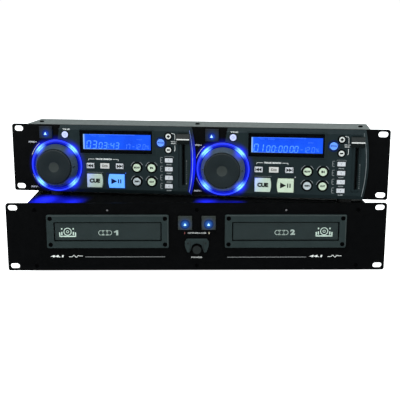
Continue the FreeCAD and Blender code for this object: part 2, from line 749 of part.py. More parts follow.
for side in (-1, 1):
    for y in (16, 188):
        s.circle(side * (D.rail_in + D.rail_out) / 2, y, 3.7)
pad(loader, s, D.rail_low - D.box_bottom - D.sheet_thk, back=False, name="Legs")

bridge = inside("clamp_bridge")
s = Drawing(bridge, "top", D.rail_top, "strip")
s.rect(0, D.disc_y, D.rail_out * 2, 26)
s.circle(0, D.disc_y, 9.6)
pad(bridge, s, 1.2, back=False)

clamp = inside("disc_clamp", 0, D.disc_y)
lathe(clamp, [(0, 51.4), (13, 51.4), (13, 53), (9, 53), (9, 57.2), (14, 57.2), (14, 59), (0, 59)], "Spool")

traverse = inside("traverse_plate")
s = Drawing(traverse, "top", D.rail_low - 1.5, "plate")
s.rect(0, 88, 80, 136, 3)
s.circle(0, D.disc_y, 3)
pad(traverse, s, 1.5, back=False)
s = Drawing(traverse, "top", D.rail_low - 0.5, "rod_posts")
for x in (-14, 14):
    for y in (93, 149):
        s.rect(x, y, 6, 4)
pad(traverse, s, 6, back=False, name="RodPosts")
s = Drawing(traverse, "front", 0, "rod_holes")
for x in (-14, 14):
    s.circle(x, 39.5, 1.55)
pocket(traverse, s, None, "RodHoles")

for x in (-14, 14):
    rod = body("sled_rod_%s" % ("left" if x < 0 else "right"), "player", x - D.drive_x, 0, 39.5)
    s = Drawing(rod, "front", -91, "section")
    s.circle(0, 0, 1.5)
    pad(rod, s, 60)
    DRIVE.append((rod, 0, 39.5, x))

pickup = inside("laser_pickup")
s = Drawing(pickup, "front", -101, "sled")
s.rect(0, 39.7, 38, 5.4, 0.8)
for x in (-14, 14):
    s.circle(x, 39.5, 1.6)
pad(pickup, s, 28)
s = Drawing(pickup, "top", 42.2, "lens")
s.circle(0, 114, 4)
pad(pickup, s, 1.1, back=False, name="Lens")

spindle = inside("spindle_motor", 0, D.disc_y)
lathe(spindle, [(0, 20), (12, 20), (12, 34.5), (1.5, 34.5), (1.5, 40), (14.5, 40), (14.5, 42), (7.4, 42), (6.6, 43.4), (0, 43.4)], "MotorAndTurntable")

gearbox = inside("loading_gearbox")
s = Drawing(gearbox, "top", D.rail_low + 3, "block")
s.rect(-48, 32, 20, 38, 2)
pad(gearbox, s, 4, back=False)

members = []
for item in DRIVE:
    b, y, z = item[0], item[1], item[2]
    x = item[3] if len(item) > 3 else 0
    members += [b, twin(b, b.Name + "_2", "player", x + D.drive_x, y, z)]
group("disc_mechanisms", members)

# ----------------------------------------------------- boards, sockets and supply

board_z = D.box_bottom + D.sheet_thk + 5.0
servo = body("servo_board", "player", -D.drive_x)
s = Drawing(servo, "top", board_z, "board")
s.rect(0, 102, 112, 150)
pad(servo, s, 1.6, back=False)
s = Drawing(servo, "top", board_z + 1.5, "chips")
for x, y, w, d in ((-30, 60, 18, 18), (10, 70, 14, 14), (34, 120, 22, 12), (-20, 130, 12, 22)):
    s.rect(x, y, w, d)
pad(servo, s, 2.6, back=False, name="Chips")
s = Drawing(servo, "top", board_z + 1.5, "capacitors")
for x, y in ((-44, 100), (-44, 114), (44, 60), (44, 76), (20, 160)):
    s.circle(x, y, 4)
pad(servo, s, 9, back=False, name="Capacitors")
servo_2 = twin(servo, "servo_board_2", "player", D.drive_x, 0, 0)

supply = body("supply_board")
s = Drawing(supply, "top", board_z, "board")
s.rect(0, 131, 72, 140)
pad(supply, s, 1.6, back=False)
s = Drawing(supply, "top", board_z + 1.5, "transformer")
s.rect(0, 98, 58, 46, 1)
pad(supply, s, 42, back=False, name="Transformer")
s = Drawing(supply, "top", board_z + 1.5, "reservoirs")
for x, y in ((-18, 150), (18, 150), (-18, 176)):
    s.circle(x, y, 9)
pad(supply, s, 26, back=False, name="Reservoirs")

output = body("output_board")
s = Drawing(output, "top", board_z, "board")
s.rect(0, 221.5, 330, 29)
pad(output, s, 1.6, back=False)
wall_in = D.box_rear - D.sheet_thk
s = Drawing(output, "top", board_z + 1.5, "socket_blocks")
for x in (-118, -94, 94, 118):
    s.rect(x, wall_in - 6, 14, 12)
pad(output, s, 44.5, back=False, name="SocketBlocks")
s = Drawing(output, "top", board_z + 1.5, "link_blocks")
for x in LINK_X:
    s.rect(x, wall_in - 6, 17, 12)
pad(output, s, 34.5, back=False, name="LinkBlocks")

barrel = body("phono_barrel_1", "player", REAR_PHONO[0][0], 0, REAR_PHONO[0][1])
s = Drawing(barrel, "front", -wall_in, "section")
s.circle(0, 0, 4.15)
s.circle(0, 0, 1.6)
pad(barrel, s, D.phono_out + D.sheet_thk, name="Barrel")
barrels = [barrel] + [twin(barrel, "phono_barrel_%d" % (i + 2), "player", x, 0, z) for i, (x, z) in enumerate(REAR_PHONO[1:])]

link_face = body("link_face_1", "player", LINK_X[0], 0, LINK_Z)
s = Drawing(link_face, "front", -wall_in, "section")
s.circle(0, 0, 7)
for dx, dz in ((-3.4, 0), (3.4, 0), (0, 3.4), (-2.4, 2.4), (2.4, 2.4), (-2.4, -2.4), (2.4, -2.4), (0, 0)):
    s.circle(dx, dz, 0.6)
pad(link_face, s, 1.2 + D.sheet_thk, name="Face")
barrels += [link_face, twin(link_face, "link_face_2", "player", LINK_X[1], 0, LINK_Z)]

inlet = body("mains_inlet", "player", D.inlet_x, 0, D.inlet_z)
s = Drawing(inlet, "front", -(D.box_rear - 19), "barrel")
s.rect(0, 0, D.inlet_w, D.inlet_high, 2.5)
pad(inlet, s, 19.2, name="Barrel")
s = Drawing(inlet, "front", -D.box_rear, "flange")
s.rect(0, 0, D.inlet_w + 5, D.inlet_high + 4, 2)
pad(inlet, s, D.inlet_rim, name="Flange")
s = Drawing(inlet, "front", -(D.box_rear + D.inlet_rim - D.inlet_deep), "cavity")
s.rect(0, 0, D.inlet_w - 2.4, D.inlet_high - 2.4, 2)
pocket(inlet, s, None, "Cavity")
s = Drawing(inlet, "front", -(D.box_rear + D.inlet_rim - D.inlet_deep - 1), "blades")
s.rect(-7, -0.6, 2, 4)
s.rect(7, -0.6, 2, 4)
s.rect(0, 3.4, 2, 4)
pad(inlet, s, 13.5, name="Blades")

front_board = body("front_board")
s = Drawing(front_board, "front", -12, "board")
s.outline([(-28, 8.6), (28, 8.6), (28, 73), (122, 73), (122, 83), (-122, 83), (-122, 73), (-28, 73)])
pad(front_board, s, 1.6)
s = Drawing(front_board, "front", -(D.panel_thk + D.sheet_thk), "spacers")
for x, z in ((-100, 78), (-40, 78), (40, 78), (100, 78), (-18, 12.4), (18, 12.4)):
    s.circle(x, z, 2.4)
pad(front_board, s, 8, name="Spacers")
s = Drawing(front_board, "front", -8.6, "open_switches")
for side in (-1, 1):
    s.rect(side * D.open_x, D.open_z, 6, 6)
pad(front_board, s, 3.6, name="OpenSwitches")
s = Drawing(front_board, "front", -9.8, "power_switch")
s.rect(0, D.power_z, 13, 13)
pad(front_board, s, 18, name="PowerSwitch")
s = Drawing(front_board, "front", 0.5, "lamps")
for side in (-1, 1):
    s.circle(side * D.lamp_x, D.lamp_z, D.lamp_r)
pad(front_board, s, 12.6, name="LampPipes")
group("player_boards", [servo, servo_2, supply, output, inlet, front_board] + barrels)

# feet and screws of the transport unit
foot = body("foot_a", "player", -D.foot_x, D.foot_front, -D.stand)
lathe(foot, [(6.5, 0), (16, 0), (17, 1), (15.2, D.stand + D.box_bottom), (0, D.stand + D.box_bottom), (0, 4), (6.5, 4)], "Rubber")
members = [foot]
for i, (sx, y) in enumerate(((1, D.foot_front), (-1, D.foot_back), (1, D.foot_back))):
    members.append(twin(foot, "foot_%s" % "bcd"[i], "player", sx * D.foot_x, y, -D.stand))
first = screw("bezel_screw", "player", -D.drive_x - D.bezel_screw_x, -D.bezel_thk + 0.25, D.bezel_screw_low, 2.8, 1.6, 1.5, 9)
members.append(first)
for side in (-1, 1):
    for sx in (-1, 1):
        for z in (D.bezel_screw_low, D.bezel_screw_top):
            if not (side == -1 and sx == -1 and z is not D.bezel_screw_top and z.text == "dims.bezel_screw_low"):
                members.append(twin(first, "bezel_screw_%d" % len(members), "player", side * D.drive_x + sx * D.bezel_screw_x, -D.bezel_thk + 0.25, z))
first = screw("face_screw", "player", FACE_SCREWS[0][0], 0.05, FACE_SCREWS[0][1], 2.7, 1.1, 1.5, 7)
members.append(first)
for x, z in FACE_SCREWS[1:]:
    members.append(twin(first, "face_screw_%d" % len(members), "player", x, 0.05, z))
for sx in (-1, 1):
    side_screw = body("cover_screw_%s" % ("left" if sx < 0 else "right"), "player", sx * D.box_half, 30, 9)
    s = Drawing(side_screw, "front", 0, "section")
    s.outline([(0, 0), (0, 1.2), (-5 * sx, 1.2), (-5 * sx, 0)] if sx > 0 else [(0, 0), (5, 0), (5, 1.2), (0, 1.2)])
    f = side_screw.newObject("PartDesign::Revolution", "Shank")
    f.Profile, f.ReferenceAxis, f.Angle = s.sk, (s.sk, ["H_Axis"]), 360
    s = Drawing(side_screw, "front", 0, "head")
    s.outline([(0, 0), (1.4 * sx, 0), (1.4 * sx, 1.6), (0.7 * sx, 2.8), (0, 2.8)])
    f = side_screw.newObject("PartDesign::Revolution", "Head")
    f.Profile, f.ReferenceAxis, f.Angle = s.sk, (s.sk, ["H_Axis"]), 360
    members.append(side_screw)
    for y in (120, 225):
        members.append(twin(side_screw, side_screw.Name + "_%d" % y, "player", sx * D.box_half, y, 9))
group("player_feet_and_screws", members)

# ------------------------------------------------------ transport unit: moved keys

for n, side in ((1, -1), (2, 1)):
    key = body("open_key_%d" % n, "player", side * D.open_x, 0, D.open_z)
    s = Drawing(key, "front", D.open_front, "cap")
    s.rect(0, 0, D.open_w, D.open_high, 0.8)
    pad(key, s, D.open_front + 3.7, name="Cap")
    dress(key, "Fillet", front_edges(local_shape(key), -VALUES["open_front"]), 0.5, "SoftEdge")
    s = Drawing(key, "front", -3.6, "retainer")
    s.rect(0, 0, D.open_w + 2, D.open_high + 2)
    pad(key, s, 1.2, name="Retainer")
    s = Drawing(key, "front", -4.7, "stem")
    s.circle(0, 0, 2)
    pad(key, s, 2.9, name="Stem")
    keep("open_key_%d" % n, key)

power = body("power_button", "player", 0, 0, D.power_z)
turned(power, [(-D.power_front, 0), (-D.power_front, D.power_r - 0.9, 0.9, -1), (-D.power_front + 0.9, D.power_r), (3.6, D.power_r), (3.6, 7.6),
               (4.6, 7.6), (4.6, 3), (6.9, 3), (6.9, 0)], "Button")
keep("power_button", power)

# --------------------------------------------------------- control unit: casing

DECKS = ((1, D.deck_one), (2, D.deck_two))

panel = rack_panel("controller_front_panel", "control")
s = Drawing(panel, "front", 0, "windows")
for n, x0 in DECKS:
    s.rect(x0 + 103.5, 44.25, 139, 77.5, 3)
    s.circle(x0, D.jog_z, 15.1)
    s.rect(x0 + D.eject_x, D.eject_z, D.eject_w + 2 * D.key_gap, D.eject_high + 2 * D.key_gap)
    s.circle(x0 + D.time_x, D.time_z, D.time_r + 0.6)
pocket(panel, s, None, "Windows")
keep("controller_front_panel", panel)

shell = body("case_shell", "control")
depth = D.case_rear - D.panel_thk
mid = D.panel_thk + depth / 2
lid_low = D.case_top - D.case_thk
s = Drawing(shell, "top", D.case_bottom, "floor")
s.rect(D.case_mid, mid, D.case_half * 2, depth)
pad(shell, s, D.case_thk, back=False, name="Floor")
s = Drawing(shell, "front", -(D.case_rear - D.case_thk), "rear_wall")
s.rect(D.case_mid, (lid_low + D.case_bottom) / 2, D.case_half * 2, lid_low - D.case_bottom)
pad(shell, s, D.case_thk, name="RearWall")
s = Drawing(shell, "top", D.case_bottom, "sides")
for side in (-1, 1):
    s.rect(D.case_mid + side * (D.case_half - D.case_thk / 2), mid, D.case_thk, depth)
pad(shell, s, lid_low - D.case_bottom, back=False, name="Sides")
s = Drawing(shell, "top", lid_low - D.case_thk, "lid_flanges")
for side in (-1, 1):
    s.rect(D.case_mid + side * (D.case_half - D.case_thk / 2 - 7), mid, 15, depth)
s.rect(D.lid_screw_mid, mid, 16, depth)
pad(shell, s, D.case_thk, back=False, name="LidFlanges")
s = Drawing(shell, "front", -D.panel_thk, "front_flange")
s.rect(D.case_mid, (lid_low + D.case_bottom) / 2, D.case_half * 2, lid_low - D.case_bottom)
s.rect(0, 44.4, 416, 79)
pad(shell, s, D.case_thk, name="FrontFlange")
s = Drawing(shell, "front", -(D.panel_thk - 1), "key_room")
s.rect(0, 80.5, 416, 5.6)
pocket(shell, s, 3, "KeyRoom")
s = Drawing(shell, "front", -(D.case_rear - 5), "link_holes")
for x in (-40, 40):
    s.circle(x, 30, 7.2)
pocket(shell, s, None, "LinkHoles")
s = Drawing(shell, "top", D.case_top, "lid_threads")
for x in (D.lid_screw_left, D.lid_screw_mid, D.lid_screw_right):
    s.circle(x, D.lid_screw_y, 1.3)
pocket(shell, s, 5, "LidThreads")

lid = body("case_lid", "control")
s = Drawing(lid, "top", lid_low, "sheet")
s.rect(D.case_mid, mid + 0.05, D.case_half * 2, depth - 0.1)
for x in (D.lid_screw_left, D.lid_screw_mid, D.lid_screw_right):
    s.circle(x, D.lid_screw_y, 1.7)
pad(lid, s, D.case_thk, back=False)
group("controller_case", [shell, lid])

# ---------------------------------------------------------- control unit: fascia

fascia = body("fascia_1", "control", D.deck_one)
R = D.ring_r + 0.4
s = Drawing(fascia, "front", D.fascia_front, "face")


def on_ring(x, side):
    """Height of the ring clearance circle at x, above or below the jog axis."""
    r, q = R.value, dim(x)
    drop = Dim(math.sqrt(r * r - q.value ** 2), "sqrt(%s * %s - %s * %s)" % (R.text, R.text, q.text, q.text))
    return D.jog_z + side * drop


s.outline([(5.4, D.fascia_top), (2.4, on_ring(2.4, 1), R, -1), (6, on_ring(6, -1)), (6, D.fascia_low), (D.fascia_right, D.fascia_low, D.fascia_bulge, 1),
           (D.fascia_right + 0.4, D.fascia_top)])
pad(fascia, s, D.fascia_front, name="Face")


def outer_edge(e):
    """Top, bottom and curved right side of the face, and the slanting left edge."""
    box = e.BoundBox
    if box.XMin < 3 and box.ZMin < 20 and box.ZMax > 50:
        return False
    return e.Length > 20 and not (box.XMax < 5.6)


edges = front_edges(local_shape(fascia), -VALUES["fascia_front"], also=outer_edge)
f = dress(fascia, "Chamfer", edges, D.fascia_bevel, "Bevel")
f.ChamferType = "Two distances"
f.Size2 = bind_later(f, "Size2", D.fascia_bevel_deep)
s = Drawing(fascia, "front", 5, "display_rim")
s.rect((D.lens_left - 1.2 + D.lens_right + 2.4) / 2, (D.lens_low - 1 + D.lens_top + 1.8) / 2,
       D.lens_right - D.lens_left + 3.6, D.lens_top - D.lens_low + 2.8, 0.8)
f = pad(fascia, s, D.rim_front - 5, back=False, name="DisplayRim")
s = Drawing(fascia, "front", 0, "hollow")
s.outline([(36, 6), (173, 6), (173, 82), (130.2, 82), (130.2, 49.5), (36, 49.5)])
pocket(fascia, s, D.fascia_front - D.fascia_wall, "Hollow", other=True)
s = Drawing(fascia, "front", D.fascia_front, "channel")
s.rect((D.channel_left + D.channel_right) / 2, (D.channel_low + D.channel_top) / 2, D.channel_right - D.channel_left,
       D.channel_top - D.channel_low, 1)
pocket(fascia, s, D.channel_deep, "FaderChannel")

gap = D.key_gap
RECT_KEYS = [
    ("track_back_key", D.back_x, D.row_z, D.back_w, D.row_high),
    ("folder_key", D.folder_x, D.row_z, D.folder_w, D.row_high),
    ("track_skip_key", D.skip_x, D.row_z, D.skip_w, D.row_high),
    ("program_key_1", D.bank_x, D.bank_a, D.bank_w, D.bank_high),
    ("program_key_2", D.bank_x, D.bank_b, D.bank_w, D.bank_high),
    ("program_key_3", D.bank_x, D.bank_c, D.bank_w, D.bank_high),
    ("program_key_4", D.bank_x, D.bank_d, D.bank_w, D.bank_high),
]
ROUND_KEYS = [
    ("reloop_key", D.loop_left, D.loop_top, D.loop_r, D.round_front),
    ("loop_in_key", D.loop_right, D.loop_top, D.loop_r, D.round_front),
    ("tempo_key", D.loop_left, D.loop_low, D.loop_r, D.round_front),
    ("loop_out_key", D.loop_right, D.loop_low, D.loop_r, D.round_front),
    ("pitch_key", D.pitch_x, D.pitch_z, D.pitch_r, D.small_front),
    ("bend_plus_key", D.bend_x, D.bend_up, D.bend_r, D.small_front),
    ("bend_minus_key", D.bend_x, D.bend_down, D.bend_r, D.small_front),
]


def cue_outline(s, left, right, low, top, grow, curved):
    """Key outline with one bulging side, curved = +1 for the right side."""
    left, right, low, top = left - grow, right + grow, low - grow, top + grow
    bow, half = D.cue_bow, (top - low) / 2
    radius = (half * half + bow * bow) / (2 * bow)
    if curved > 0:
        s.outline([(left, low), (right - bow, low, radius, 1), (right - bow, top), (left, top)])
    else:
        s.outline([(left + bow, low), (right, low), (right, top), (left + bow, top, radius, 1)])


s = Drawing(fascia, "front", 10, "key_holes")
s.rect((D.lens_left + D.lens_right) / 2, (D.lens_low + D.lens_top) / 2, D.lens_right - D.lens_left, D.lens_top - D.lens_low, 0.8)
for name, x, z, w, tall in RECT_KEYS:
    s.rect(x, z, w + 2 * gap, tall + 2 * gap, 0.9)
for name, x, z, r, front in ROUND_KEYS:
    s.circle(x, z, r + gap)
s.circle(D.time_x, D.time_z, D.time_r + gap)
cue_outline(s, D.cue_left, D.cue_right, D.cue_low, D.cue_top, gap, 1)
cue_outline(s, D.play_left, D.play_right, D.cue_low, D.cue_top, gap, -1)
s.rect(D.fader_x, (D.fader_slot_low + D.fader_slot_top) / 2, D.fader_slot_w, D.fader_slot_top - D.fader_slot_low)
pocket(fascia, s, None, "KeyHoles")
fascia_2 = twin(fascia, "fascia_2", "control", D.deck_two, 0, 0)
group("controller_fascias", [fascia, fascia_2])

ring = body("ring_1", "control", D.deck_one, 0, D.jog_z)
turned(ring, [(0, D.ring_bore), (-D.ring_front + 2, D.ring_bore, 2, 1), (-D.ring_front, D.ring_bore + 2), (-D.ring_front, D.ring_r - 2, 2, 1),
              (-D.ring_front + 2, D.ring_r), (0, D.ring_r)], "Ring")
ring_2 = twin(ring, "ring_2", "control", D.deck_two, 0, D.jog_z)
group("jog_light_rings", [ring, ring_2])

# ------------------------------------------- control unit: boards and their parts

board = body("key_board_1", "control", D.deck_one)
s = Drawing(board, "front", -D.board_front, "board")
s.outline([(30, 4.4), (157, 4.4), (157, 83), (-26, 83), (-26, 68), (30, 68)])
pad(board, s, D.board_thk)
s = Drawing(board, "front", -D.switch_front, "switches")
for name, x, z, w, tall in RECT_KEYS:
    s.rect(x, z, 6, 6)
for name, x, z, r, front in ROUND_KEYS:
    s.rect(x, z, 6, 6)
for x, z in ((D.eject_x, D.eject_z - 2.4), (D.time_x, D.time_z), ((D.cue_left + D.cue_right) / 2, (D.cue_low + D.cue_top) / 2),
             ((D.play_left + D.play_right) / 2, (D.cue_low + D.cue_top) / 2)):
    s.rect(x, z, 6, 6)
pad(board, s, D.board_front - D.switch_front + 0.5, name="Switches")
s = Drawing(board, "front", 0, "posts")
for z in (56, 78):
    s.circle(128.6, z, 2)
pad(board, s, D.board_front + 0.5, name="Posts")

lcd = body("display_1", "control", D.deck_one)
s = Drawing(lcd, "front", D.glass_front, "glass")
s.rect((D.glass_left + D.glass_right) / 2, (D.glass_low + D.glass_top) / 2, D.glass_right - D.glass_left + 3, D.glass_top - D.glass_low + 3)
pad(lcd, s, D.glass_front + D.board_front)

lens = body("display_frame_1", "control", D.deck_one)
s = Drawing(lens, "front", D.lens_front, "frame")
s.rect((D.lens_left + D.lens_right) / 2, (D.lens_low + D.lens_top) / 2, D.lens_right - D.lens_left - 0.1, D.lens_top - D.lens_low - 0.1, 0.75)
s.rect((D.glass_left + D.glass_right) / 2, (D.glass_low + D.glass_top) / 2, D.glass_right - D.glass_left, D.glass_top - D.glass_low, 0.4)
pad(lens, s, D.lens_front - D.glass_front)

bearing = body("jog_bearing_1", "control", D.deck_one, 0, D.jog_z)
turned(bearing, [(-4, D.sleeve_r + D.fit), (-4, 15), (3, 15), (3, 24), (5, 24), (5, D.sleeve_r + D.fit)], "Flange")

encoder = body("jog_encoder_1", "control", D.deck_one, 0, D.jog_z)
s = Drawing(encoder, "front", -5, "block")
s.rect(0, 0, 28, 28, 2)
s.circle(0, 0, D.shaft_r + D.fit)
pad(encoder, s, 15)

track = body("fader_body_1", "control", D.deck_one)
s = Drawing(track, "front", -5, "block")
s.rect(D.fader_x, 44.2, 11, 78.4, 0.5)
pad(track, s, 9)
s = Drawing(track, "front", D.fascia_wall - D.fascia_front, "spacers")
s.circle(D.fader_x, 8.6, 1.9)
s.circle(D.fader_x, 80, 1.6)
pad(track, s, 8.4, name="Spacers")
s = Drawing(track, "front", 0, "lever_slot")
s.rect(D.fader_x, (D.fader_slot_low + D.fader_slot_top) / 2, D.fader_slot_w + 0.4, D.fader_slot_top - D.fader_slot_low)
pocket(track, s, 12.4, "LeverSlot")

members = []
for piece, z in ((board, 0), (lcd, 0), (lens, 0), (bearing, D.jog_z), (encoder, D.jog_z), (track, 0)):
    members += [piece, twin(piece, piece.Name[:-1] + "2", "control", D.deck_two, 0, z)]
link = body("link_socket_1", "control", -40, 0, 30)
s = Drawing(link, "front", -(D.case_rear - D.case_thk - 12), "block")
s.rect(0, 0, 17, 18)
pad(link, s, 12)
s = Drawing(link, "front", -(D.case_rear - D.case_thk - 1), "face")
s.circle(0, 0, 7)
pad(link, s, D.case_thk + 2.4, name="Face")
s = Drawing(link, "front", -(D.case_rear - 4), "pin_holes")
for dx, dz in ((-3.4, 0), (3.4, 0), (0, 3.4), (-2.4, 2.4), (2.4, 2.4), (-2.4, -2.4), (2.4, -2.4), (0, 0)):
    s.circle(dx, dz, 0.6)
pocket(link, s, None, "PinHoles")
members += [link, twin(link, "link_socket_2", "control", 40, 0, 30)]
group("control_boards", members)

# feet and lid screws of the control unit
lift = D.case_bottom + D.ctl_z - D.box_top
foot = body("stand_a", "control", -D.stand_x, D.stand_front, D.case_bottom - lift)
lathe(foot, [(0, 0), (D.stand_r - 0.8, 0), (D.stand_r, 0.8), (D.stand_r - 1, lift), (0, lift)], "Rubber")
members = [foot]
for i, (sx, y) in enumerate(((1, D.stand_front), (-1, D.stand_back), (1, D.stand_back))):
    members.append(twin(foot, "stand_%s" % "bcd"[i], "control", sx * D.stand_x, y, D.case_bottom - lift))
first = body("lid_screw_left", "control", D.lid_screw_left, D.lid_screw_y, D.case_top)
lathe(first, [(0, -4), (1.2, -4), (1.2, 0), (3, 0), (3, 0.6), (2.1, 1.5), (0, 1.5)], "Screw")
s = Drawing(first, "top", 1.5, "recess")
s.rect(0, 0, 3.4, 0.7)
pocket(first, s, 0.9)
s = Drawing(first, "top", 1.5, "recess_2")
s.rect(0, 0, 0.7, 3.4)
pocket(first, s, 0.9)
members += [first, twin(first, "lid_screw_mid", "control", D.lid_screw_mid, D.lid_screw_y, D.case_top),
            twin(first, "lid_screw_right", "control", D.lid_screw_right, D.lid_screw_y, D.case_top)]
group("controller_feet_and_screws", members)

# -------------------------------------------------- control unit: what is moved


def retained(key, lip, stem_r, front=None, thick=None, end=None):
    """Retaining flange and stem behind a key cap; lip draws the flange."""
    front = -D.lip_front if front is None else front
    thick = D.lip_thk if thick is None else thick
    s = Drawing(key, "front", -front, "retainer")
    lip(s)
    pad(key, s, thick, name="Retainer")
    s = Drawing(key, "front", -(front + thick - 0.2), "stem")
    s.circle(0, 0, stem_r)
    pad(key, s, D.key_end - (front + thick - 0.2), name="Stem")


def soft(key, front, size=0.4):
    dress(key, "Fillet", front_edges(local_shape(key), -front.value), size, "SoftEdge")


for n, x0 in DECKS:
    pre = "deck%d_" % n

    for name, x, z, w, tall in RECT_KEYS:
        key = body(pre + name, "control", x0 + x, 0, z)
        s = Drawing(key, "front", D.small_front, "cap")
        s.rect(0, 0, w, tall, 0.6)
        pad(key, s, D.small_front - D.lip_front + 0.1, name="Cap")
        soft(key, D.small_front)
        retained(key, lambda s: s.rect(0, 0, w + 2 * D.lip, tall + 2 * D.lip), 1.6)
        keep(pre + name, key)

    for name, x, z, r, front in ROUND_KEYS:
        key = body(pre + name, "control", x0 + x, 0, z)
        s = Drawing(key, "front", front, "cap")
        s.circle(0, 0, r)
        pad(key, s, front - D.lip_front + 0.1, name="Cap")
        soft(key, front, 0.7)
        retained(key, lambda s: s.circle(0, 0, r + D.lip), 1.6)
        keep(pre + name, key)

    for name, left, right, curved in (("cue_key", D.cue_left, D.cue_right, 1), ("play_key", D.play_left, D.play_right, -1)):
        cx, cz = (left + right) / 2, (D.cue_low + D.cue_top) / 2
        key = body(pre + name, "control", x0 + cx, 0, cz)
        s = Drawing(key, "front", D.big_front, "cap")
        cue_outline(s, left - cx, right - cx, D.cue_low - cz, D.cue_top - cz, dim(0), curved)
        pad(key, s, D.big_front - D.lip_front + 0.1, name="Cap")
        soft(key, D.big_front, 0.6)
        retained(key, lambda s: s.rect(0, 0, right - left + 2 * D.lip, D.cue_top - D.cue_low + 2 * D.lip), 2)
        keep(pre + name, key)

    key = body(pre + "eject_key", "control", x0 + D.eject_x, 0, D.eject_z)
    s = Drawing(key, "front", D.eject_front, "cap")
    s.rect(0, 0, D.eject_w, D.eject_high, 0.7)
    pad(key, s, D.eject_front + 2.4, name="Cap")
    soft(key, D.eject_front)
    s = Drawing(key, "front", -2.3, "neck")
    s.rect(0, -1, D.eject_w - 1, D.eject_high - 5)
    pad(key, s, 1.2, name="Neck")
    s = Drawing(key, "front", -3.45, "retainer")
    s.rect(0, -0.4, D.eject_w + 2, D.eject_high - 4.6)
    pad(key, s, 1, name="Retainer")
    s = Drawing(key, "front", -4.4, "stem")
    s.circle(0, -2.4, 1.6)
    pad(key, s, D.key_end - 4.4, name="Stem")
    keep(pre + "eject_key", key)

    key = body(pre + "time_key", "control", x0 + D.time_x, 0, D.time_z)
    s = Drawing(key, "front", D.small_front, "cap")
    s.circle(0, 0, D.time_r)
    pad(key, s, D.small_front + 3.5, name="Cap")
    soft(key, D.small_front, 0.7)
    s = Drawing(key, "front", -3.4, "retainer")
    s.circle(0, 0, D.time_r + 1.3)
    pad(key, s, 1, name="Retainer")
    s = Drawing(key, "front", -4.3, "stem")
    s.circle(0, 0, 1.6)
    pad(key, s, D.key_end - 4.3, name="Stem")
    keep(pre + "time_key", key)

    shuttle = body(pre + "shuttle_ring", "control", x0, 0, D.jog_z)
    bore = D.jog_r + 0.6
    turned(shuttle, [(-D.shuttle_front, bore), (-D.shuttle_front, D.shuttle_lip + 0.4), (-8, D.shuttle_r), (-5.4, D.shuttle_r), (-5.4, D.sleeve_r),
                     (4.4, D.sleeve_r), (4.4, D.hub_r + 0.5), (-9, D.hub_r + 0.5), (-9, 19), (-12, bore)], "Bowl")
    s = Drawing(shuttle, "front", D.shuttle_front, "pointers")
    for side in (-1, 1):
        s.rect(side * 26.2, 0, 4.4, 1.8)
    pocket(shuttle, s, 5.6, "Pointers")
    keep(pre + "shuttle_ring", shuttle)

    jog = body(pre + "jog_wheel", "control", x0, 0, D.jog_z)
    turned(jog, [(-D.jog_front, 0), (-D.jog_front, D.jog_r - 1, 1, -1), (-D.jog_front + 1, D.jog_r), (-14, D.jog_r), (-14, D.hub_r), (2, D.hub_r),
                 (2, D.shaft_r), (18, D.shaft_r), (18, 0)], "Wheel")
    s = Drawing(jog, "front", D.jog_front, "dimple")
    s.circle(0, 0, 6.5)
    pocket(jog, s, 0.4, "Dimple")
    keep(pre + "jog_wheel", jog)

    cap = body(pre + "pitch_fader", "control", x0 + D.fader_x, 0, D.cap_z)
    s = Drawing(cap, "side", D.cap_x - D.fader_x - D.cap_w / 2, "profile")
    half = D.cap_high / 2
    s.outline([(-D.cap_back, -half), (-D.cap_back, half), (-D.cap_back - 3, half - 0.5), (-D.cap_front, 1.4), (-D.cap_front, -1.4), (-D.cap_back - 3, 0.5 - half)])
    pad(cap, s, D.cap_w, back=False, name="Cap")
    s = Drawing(cap, "front", D.cap_back + 0.5, "lever")
    s.rect(0, 0, D.lever_w, D.lever_high)
    pad(cap, s, D.cap_back + 0.5 + 10, name="Lever")
    keep(pre + "pitch_fader", cap)

# ----------------------------------------------------------------- check and write

doc.recompute()
faults = []
for obj in doc.Objects:
    if "Invalid" in obj.State or "Error" in obj.State:
        faults.append("%s (%s) %s" % (obj.Name, obj.Label, obj.State))
for name, obj in NODES.items():
    shape = obj.Shape
    if shape.isNull() or not shape.isValid() or not shape.Solids:
        faults.append(name + " has no valid solid")
if faults:
    raise RuntimeError("; ".join(faults))

os.makedirs("parts", exist_ok=True)
whole = None
for name, obj in NODES.items():
    shape = obj.Shape
    shape.exportStep(os.path.join("parts", name + ".step"))
    whole = shape.BoundBox if whole is None else whole.united(shape.BoundBox)
    print("%-28s %2d solids %10.1f mm3" % (name, len(shape.Solids), shape.Volume))
print(len(NODES), "nodes; box", whole)
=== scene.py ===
"""Finishes, lettering, lights and camera of the dual disc player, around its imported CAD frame."""

import math

import bmesh
import bpy
from mathutils import Matrix, Vector


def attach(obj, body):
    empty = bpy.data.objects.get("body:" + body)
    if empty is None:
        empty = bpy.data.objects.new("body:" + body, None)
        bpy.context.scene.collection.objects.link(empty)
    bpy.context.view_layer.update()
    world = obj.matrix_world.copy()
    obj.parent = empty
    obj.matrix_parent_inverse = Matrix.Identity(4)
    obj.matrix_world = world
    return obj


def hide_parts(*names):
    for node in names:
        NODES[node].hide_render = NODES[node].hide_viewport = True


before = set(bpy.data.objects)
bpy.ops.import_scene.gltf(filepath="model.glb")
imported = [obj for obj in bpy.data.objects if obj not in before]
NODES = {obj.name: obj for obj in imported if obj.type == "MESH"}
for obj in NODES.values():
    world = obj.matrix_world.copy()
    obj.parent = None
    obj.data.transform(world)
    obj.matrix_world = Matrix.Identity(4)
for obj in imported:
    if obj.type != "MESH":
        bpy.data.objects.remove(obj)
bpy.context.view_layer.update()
scene = bpy.context.scene
scene.view_settings.view_transform = "Standard"
scene.view_settings.look = "None"

